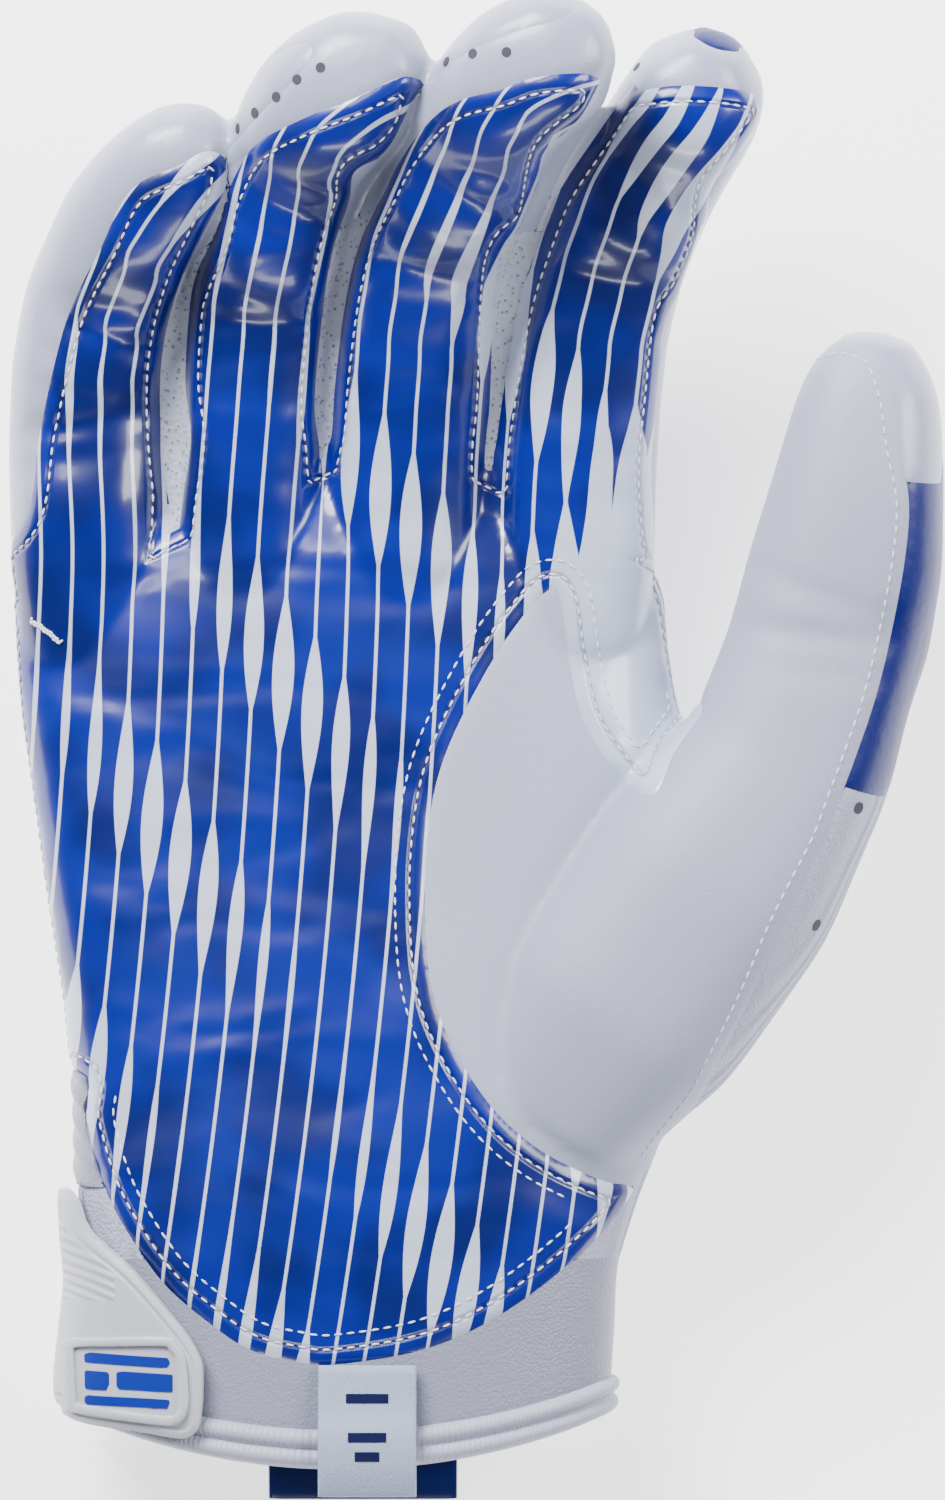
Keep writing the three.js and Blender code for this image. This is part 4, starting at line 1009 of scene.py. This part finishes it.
# Back of the index finger and the finger caps: blue leather on the index back up over its tip, and
# white leather round the sides, back and tip of each finger, with a few punched holes at the tips.
cap_start = 0.12
back_below, back_reach = -0.2, 0.85
tip_wrap, wrap_from, wrap_over = 0.65, 0.9, 0.08
index = places["index"]
at_tip = np.clip((index["at"] - wrap_from) / wrap_over, 0, 1)
over_tip = tip_wrap * at_tip * np.clip(1 - index["s"] ** 2, 0, 1)
index_field = np.maximum.reduce([
    (cap_start - index["at"]) * FINGERS["index"]["length"], own["index"],
    (index["n"] - back_below - over_tip) * index["half_thick"],
    (np.abs(index["s"]) - back_reach) * index["half_width"]])
made = panel("index_finger_back", left_over(index_field), edge_roll(0.1), -leather_thickness, blue_leather)
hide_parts("index_back")
taken.append(index_field)
for name in ("little", "ring", "middle", "index"):
    field = np.maximum((cap_start - places[name]["at"]) * FINGERS[name]["length"], own[name])
    made = panel(f"{name}_cap", left_over(field), edge_roll(0.05), -leather_thickness, white_leather)
    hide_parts(f"cap_{name}")
    taken.append(field)

hole_spots = [
    (-16.6, 103.3), (-14.0, 105.6), (-11.0, 108.2), (-7.6, 110.4), (-4.4, 112.4),
    (14.3, 113.0), (17.9, 114.0), (22.8, 114.8), (42.3, 112.4),
]
hole_radius = 0.75
hole_height, disc_thickness = 0.06, 0.08
# Punched hole: a dull dark grey, as deep shade looks
punched, _, _ = new_material("punched hole in shade", "#30343f", 0.8)


def hole_group():
    """Geometry nodes that set a thin dark disc of painted shade on each point, facing along its normal."""
    group, given = new_group("punched holes", {
        "Spots": "Geometry", "Radius": "Float", "Thickness": "Float", "Shade": "Material"}, "Holes")
    disc = add_node(group, "GeometryNodeMeshCylinder", {
        "Vertices": 20, "Radius": given["Radius"], "Depth": given["Thickness"]}).outputs["Mesh"]
    facing = add_node(group, "GeometryNodeInputNamedAttribute", {"Name": "facing"},
                      data_type="FLOAT_VECTOR").outputs["Attribute"]
    turned = add_node(group, "FunctionNodeAlignRotationToVector", {"Vector": facing},
                      axis="Z").outputs["Rotation"]
    placed = add_node(group, "GeometryNodeInstanceOnPoints", {
        "Points": given["Spots"], "Instance": disc, "Rotation": turned})
    set_out(group, placed.outputs["Instances"], False, given["Shade"], "Holes")
    return group


holes_group = hole_group()


def punched_holes(name, spots, radius):
    """Thin dark discs of painted shade on the form, one in each punched hole."""
    centres, facing = on_form(spots, hole_height)
    return grown(name, centres, [], holes_group, {
        "Radius": radius * MM, "Thickness": disc_thickness * MM, "Shade": punched}, facing)


punched_holes("tip_holes", hole_spots, hole_radius)


# Gathered side: silvery satin knit pulled into pleats between the palm leather and the strap.
gather_box = {"right": -34.9, "top": -35.4, "bottom": -52.5, "low": 5.0, "high": 27.0}
pleat_pitch, pleat_height, pleat_lean = 3.9, 0.55, 0.45
# Satin knit: a silvery grey that brightens softly towards its edges
satin, tree, shader = new_material("silvery satin knit", "#828597", 0.38, {
    "Sheen Weight": 0.3, "Sheen Roughness": 0.3})
knit_bump(tree, shader, 0.45, 0.1)
gather_field = np.maximum.reduce([
    form[:, 0] - gather_box["right"], form[:, 1] - gather_box["top"],
    gather_box["bottom"] - form[:, 1], gather_box["low"] - form[:, 2],
    form[:, 2] - gather_box["high"]])
middle_height = (gather_box["low"] + gather_box["high"]) / 2
pleat_turn = 2 * math.pi * (form[:, 1] + pleat_lean * (form[:, 2] - middle_height)) / pleat_pitch
pleats = pleat_height * (0.5 + 0.5 * np.sin(pleat_turn))
made = panel("pleated_side", left_over(gather_field), edge_roll(0.2), -leather_thickness, satin, lift=pleats)
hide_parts("side_gather")
taken.append(gather_field)


# Cuff and back of the hand: satin knit round the wrist, and white ribbed knit over the back and the
# outer side of the thumb, with two larger punched holes in that side.
wrist_y = -63.0
cuff_end = -80.6
past_cuff = -200.0
rib_pitch = 1.75
near_thumb, far_outside = 1.4, -40.0
side_hole_spots, side_hole_radius = [(74.6, 3.2), (68.4, -14.0)], 0.9
values = hand_values(form[:, 1])
middle, half = (values[0] + values[1]) / 2, (values[1] - values[0]) / 2
level_y = form[:, 1] - values[4] * (1 - np.clip((form[:, 0] - middle) / half, -1, 1) ** 2)
cuff_field = np.maximum(form[:, 1] - wrist_y, cuff_end - level_y)
made = panel("satin_cuff", left_over(cuff_field), edge_roll(-0.1), -leather_thickness, satin)
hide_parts("cuff")
taken.append(np.maximum(form[:, 1] - wrist_y, past_cuff - level_y))
# Ribbed knit: a dull white with fine ribs that run along its edges and small loops on them
ribbed, tree, shader = new_material("white ribbed knit", "#a0a4b8", 0.7)
place = add_node(tree, "ShaderNodeTexCoord").outputs["Object"]
known = {
    "from edge": add_node(tree, "ShaderNodeAttribute", attribute_name="rib_distance").outputs["Fac"],
    "loops": add_node(tree, "ShaderNodeTexVoronoi", {"Vector": place, "Scale": 2.0 / MM}).outputs["Distance"],
}
height = work_out(tree, known, [
    ("turn", "MULTIPLY", "from edge", 2 * math.pi / rib_pitch), ("ribs", "SINE", "turn"),
    ("height", "MULTIPLY_ADD", "loops", -0.5, "ribs")])
bump = add_node(tree, "ShaderNodeBump", {"Height": height, "Strength": 0.9, "Distance": 0.35 * MM})
tree.links.new(bump.outputs["Normal"], shader.inputs["Normal"])
inside_hand = half - np.abs(form[:, 0] - middle)
inside_thumb = (1 - np.abs(thumb["s"])) * thumb["half_width"]
inside_thumb = inside_thumb + np.where(thumb["r"] > near_thumb, far_outside, 0.0)
from_edge = ball_height - form[:, 2] + np.maximum(np.maximum(inside_hand, inside_thumb), 0)
made = panel("ribbed_back", left_over(wrist_y - form[:, 1]), edge_roll(0.0), -leather_thickness, ribbed,
             {"rib_distance": from_edge})
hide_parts("back_panel")
punched_holes("side_holes", side_hole_spots, side_hole_radius)


# Binding: two soft ribbed ridges round the open end of the cuff, turned in over its edge.
hem_top, hem_length = -80.5, 5.6
hem_round, hem_sides = 210.0, 240
hem_rib_pitch = 0.7
# The ridges' section: share of the length down, then how far it stands out
hem_outer = [(0.0, -0.4), (0.05, 0.5), (0.13, 1.0), (0.24, 1.2), (0.36, 1.0), (0.44, 0.5), (0.48, 0.3),
             (0.52, 0.5), (0.60, 1.0), (0.72, 1.2), (0.84, 1.0), (0.93, 0.5), (1.0, -0.3)]
hem_inner = [(1.0, -1.2), (0.9, -2.0), (0.5, -2.2), (0.1, -2.0), (0.0, -1.3)]
# Satin rib: a soft pale grey with very fine ribs across it
binding, tree, shader = new_material("satin rib binding", "#a3a6ba", 0.5)
around = add_node(tree, "ShaderNodeAttribute", attribute_name="around").outputs["Fac"]
wave = work_out(tree, {"around": around}, [
    ("turn", "MULTIPLY", "around", 2 * math.pi / hem_rib_pitch), ("wave", "SINE", "turn")])
bump = add_node(tree, "ShaderNodeBump", {"Height": wave, "Strength": 0.6, "Distance": 0.06 * MM})
tree.links.new(bump.outputs["Normal"], shader.inputs["Normal"])
across, rise = section(hem_sides)
rings = []
for down, grow in hem_outer + hem_inner:
    y = hem_top - down * hem_length
    left, right, top, _, bow, low = (float(value) for value in hand_values(y))
    middle, half, height = (left + right) / 2, (right - left) / 2 + grow, (top - low + back_drop) / 2 + grow
    x = middle + half * across
    z = np.maximum((top + low - back_drop) / 2 + height * rise, low - grow)
    rings.append(np.column_stack([x, y + bow * (1 - across ** 2), z]))
faces = []
for ring in range(len(rings)):
    here, below = ring * hem_sides, (ring + 1) % len(rings) * hem_sides
    for side in range(hem_sides):
        beside = (side + 1) % hem_sides
        faces.append((here + side, below + side, below + beside, here + beside))
made = new_object("cuff_binding", np.concatenate(rings), faces, binding)
made.data.shade_smooth()
layer = made.data.attributes.new("around", "FLOAT", "POINT")
layer.data.foreach_set("value", np.tile(np.linspace(0, hem_round, hem_sides), len(rings)))
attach(made, "root")
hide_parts("cuff_hem")


# Wrist strap: a moulded strap from across the back, round the little-finger side to a free end on
# the palm side, with a raised frame round a few plain coloured bars.
strap_edge = [
    (-60.3, -49.2), (-41.2, -51.7), (-36.8, -58.8), (-30.9, -64.7), (-24.3, -72.8), (-22.0, -76.4),
    (-21.2, -79.4), (-21.5, -86.0), (-22.3, -88.2), (-24.3, -89.1), (-29.4, -88.2), (-36.8, -87.0),
    (-39.7, -85.6), (-41.7, -83.8), (-60.3, -83.1),
]
strap_low, strap_high, strap_drop, strap_round = 1.5, 3.2, 0.5, 0.6
strap_line, strap_rib_pitch = 1.3, 1.5
ribs_above, ribs_left_of, ribs_inset = -69.0, -33.0, 1.6
back_band = {"right": 22.3, "top": -64.9, "bottom": -77.9, "height": 9.0}
band_lap = 1.0
# Moulded rubber: a warm pale grey with a soft sheen, fine slanted ribs above and a line round it
moulded, tree, shader = new_material("moulded satin rubber", "#aeb0bb", 0.42)
place = add_node(tree, "ShaderNodeAttribute", attribute_name="seen_place").outputs["Vector"]
edge = add_node(tree, "ShaderNodeAttribute", attribute_name="edge_distance").outputs["Fac"]
parts = add_node(tree, "ShaderNodeSeparateXYZ", {0: place}).outputs
known = {"x": parts["X"], "y": parts["Y"], "edge": edge, "line": seam_groove(tree, edge, strap_line, 0.5)}
height = work_out(tree, known, [
    ("slant", "MULTIPLY_ADD", "x", 0.5, "y"), ("turn", "MULTIPLY", "slant", 2 * math.pi / strap_rib_pitch),
    ("ribs", "SINE", "turn"), ("above", "GREATER_THAN", "y", ribs_above),
    ("inside", "GREATER_THAN", "edge", ribs_inset), ("left", "LESS_THAN", "x", ribs_left_of),
    ("zone", "MULTIPLY", "above", "inside"), ("ribbed zone", "MULTIPLY", "zone", "left"),
    ("ribbed", "MULTIPLY", "ribs", "ribbed zone"), ("height", "MULTIPLY_ADD", "ribbed", 0.5, "line")])
bump = add_node(tree, "ShaderNodeBump", {"Height": height, "Strength": 0.8, "Distance": 0.25 * MM})
tree.links.new(bump.outputs["Normal"], shader.inputs["Normal"])
front = np.maximum(outside(seen, rounded(strap_edge)), back_band["height"] - band_lap - form[:, 2])
band = np.maximum.reduce([form[:, 0] - back_band["right"], form[:, 1] - back_band["top"],
                          back_band["bottom"] - form[:, 1], form[:, 2] - back_band["height"]])
strap_field = np.minimum(front, band)
made = panel("moulded_strap", strap_field,
             lambda depth: strap_high - strap_drop * np.exp(-depth / strap_round), strap_low, moulded)
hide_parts("wrist_strap")

badge_outer = [
    (-39.2, -75.4), (-38.2, -74.7), (-26.4, -74.2), (-24.6, -75.2), (-23.4, -77.4), (-23.0, -83.6),
    (-23.8, -86.3), (-26.4, -87.0), (-37.3, -85.3), (-38.9, -84.2),
]
frame_width, frame_high, frame_drop, frame_round = 1.3, 4.15, 0.35, 0.35
on_strap = strap_high + 0.02
badge_field = outside(seen, rounded(badge_outer))
ring_field = np.maximum(badge_field, -frame_width - badge_field)
ring_field = np.maximum(ring_field, back_band["height"] - form[:, 2])
made = panel("strap_frame", ring_field,
             lambda depth: frame_high - frame_drop * np.exp(-depth / frame_round), on_strap, moulded,
             smallest=20)
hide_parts("strap_badge")
# Raised ink: an even bright blue with a little sheen
ink, _, _ = new_material("blue raised ink", "#001f86", 0.4)
bars = [
    # left, middle height, width, height
    (-36.9, -77.4, 11.2, 1.5), (-36.9, -80.6, 3.0, 2.6), (-32.9, -80.6, 7.6, 2.6), (-36.9, -83.4, 11.2, 1.3),
]
bar_tilt, bar_high = -0.06, strap_high + 0.15
bar_corners = [(0, -0.5), (1, -0.5), (1, 0.5), (0, 0.5)]
for number, (left, y, width, tall) in enumerate(bars):
    corners = [(left + u * width, y + v * tall + bar_tilt * u * width) for u, v in bar_corners]
    field = np.maximum(outside(seen, np.array(corners)), back_band["height"] - form[:, 2])
    panel(f"strap_bar_{number}", field, lambda depth: np.full(len(depth), bar_high), on_strap, ink,
          smallest=4)


# Size tag and pull tab: a folded woven tag from under the heel edge over the binding, with three
# plain navy bars, and a coated blue tab sewn inside the binding below it.
tag_middle, tag_width, tag_thickness = 2.6, 14.4, 1.3
tag_path = [(-78.2, 31.5), (-81.0, 31.7), (-85.2, 32.1), (-87.6, 33.0), (-90.0, 33.3), (-93.0, 33.1),
            (-95.5, 32.3), (-97.4, 31.2)]
tab_path = [(-88.2, 25.8), (-92.0, 25.8), (-94.5, 25.5), (-97.2, 24.8), (-98.2, 24.4)]
tab_middle, tab_width, tab_thickness = 1.9, 27.8, 1.6
mark_thickness, mark_rise = 0.16, 0.06
# A tape's section is nearly square across its width and rounder across its thickness, and its
# first and last rows are thinner
width_power, thickness_power = 0.12, 0.6
end_share, end_rows = 0.35, 1.5
weave_pitch = 0.42


def tape(name, path, middle, width, thickness, material, steps=24):
    """A flat tape with rounded edges along a path of places in Y and Z."""
    way = np.array(path)
    share = np.linspace(0, 1, 40)
    knots = np.linspace(0, 1, len(way))
    y, z = (smoothed(np.interp(share, knots, way[:, k]), 6) for k in (0, 1))
    angle = np.linspace(0, 2 * math.pi, steps, endpoint=False)
    u = np.sign(np.cos(angle)) * np.abs(np.cos(angle)) ** width_power * width / 2
    v = np.sign(np.sin(angle)) * np.abs(np.sin(angle)) ** thickness_power * thickness / 2
    slope = np.gradient(z) / np.gradient(y)
    rings = []
    for k in range(len(share)):
        full = min(1.0, end_share + (1 - end_share) * min(k, len(share) - 1 - k) / end_rows)
        lean = math.atan(slope[k])
        along, above = y[k] - v * full * math.sin(lean), z[k] + v * full * math.cos(lean)
        rings.append(np.column_stack([middle + u, along, above]))
    made = new_object(name, np.concatenate(rings), tube_faces(len(rings), steps), material)
    made.data.shade_smooth()
    made.data.set_sharp_from_angle(angle=math.radians(50))
    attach(made, "root")
    return made


# Woven label tape: a dull grey-blue; its weave is drawn coarser than real so that it shows
woven, tree, shader = new_material("grey-blue woven label tape", "#9ba6c0", 0.8)
place = add_node(tree, "ShaderNodeTexCoord").outputs["Object"]
parts = add_node(tree, "ShaderNodeSeparateXYZ", {0: place}).outputs
turns = 2 * math.pi / (weave_pitch * MM)
weave = work_out(tree, {"x": parts["X"], "y": parts["Y"]}, [
    ("warp turn", "MULTIPLY", "x", turns), ("warp", "SINE", "warp turn"),
    ("weft turn", "MULTIPLY", "y", turns), ("weft", "SINE", "weft turn"),
    ("weave", "MULTIPLY", "warp", "weft")])
bump = add_node(tree, "ShaderNodeBump", {"Height": weave, "Strength": 0.7, "Distance": 0.08 * MM})
tree.links.new(bump.outputs["Normal"], shader.inputs["Normal"])
made = tape("woven_size_tag", tag_path, tag_middle, tag_width, tag_thickness, woven)
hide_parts("size_tag")
# Woven marks: a very dark, dull navy
navy, _, _ = new_material("navy woven marks", "#08103a", 0.9, {"Specular IOR Level": 0.2})
knots = np.array(tag_path)[::-1]
tag_marks = [
    # middle along Y, width, height
    (-83.0, 6.2, 1.4), (-88.6, 5.6, 1.4), (-91.4, 3.6, 1.4),
]
for number, (y, width, tall) in enumerate(tag_marks):
    rows = np.linspace(y + tall / 2, y - tall / 2, 12)
    heights = np.interp(rows, knots[:, 0], knots[:, 1]) + tag_thickness / 2 + mark_rise
    tape(f"tag_mark_{number}", list(zip(rows, heights)), tag_middle, width, mark_thickness, navy)
# Coated tape: a dark blue with a clear, wet-looking shine
coated, _, _ = new_material("coated blue tape", "#00124f", 0.2, {"Coat Weight": 0.6})
made = tape("coated_pull_tab", tab_path, tab_middle, tab_width, tab_thickness, coated)
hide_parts("pull_tab")
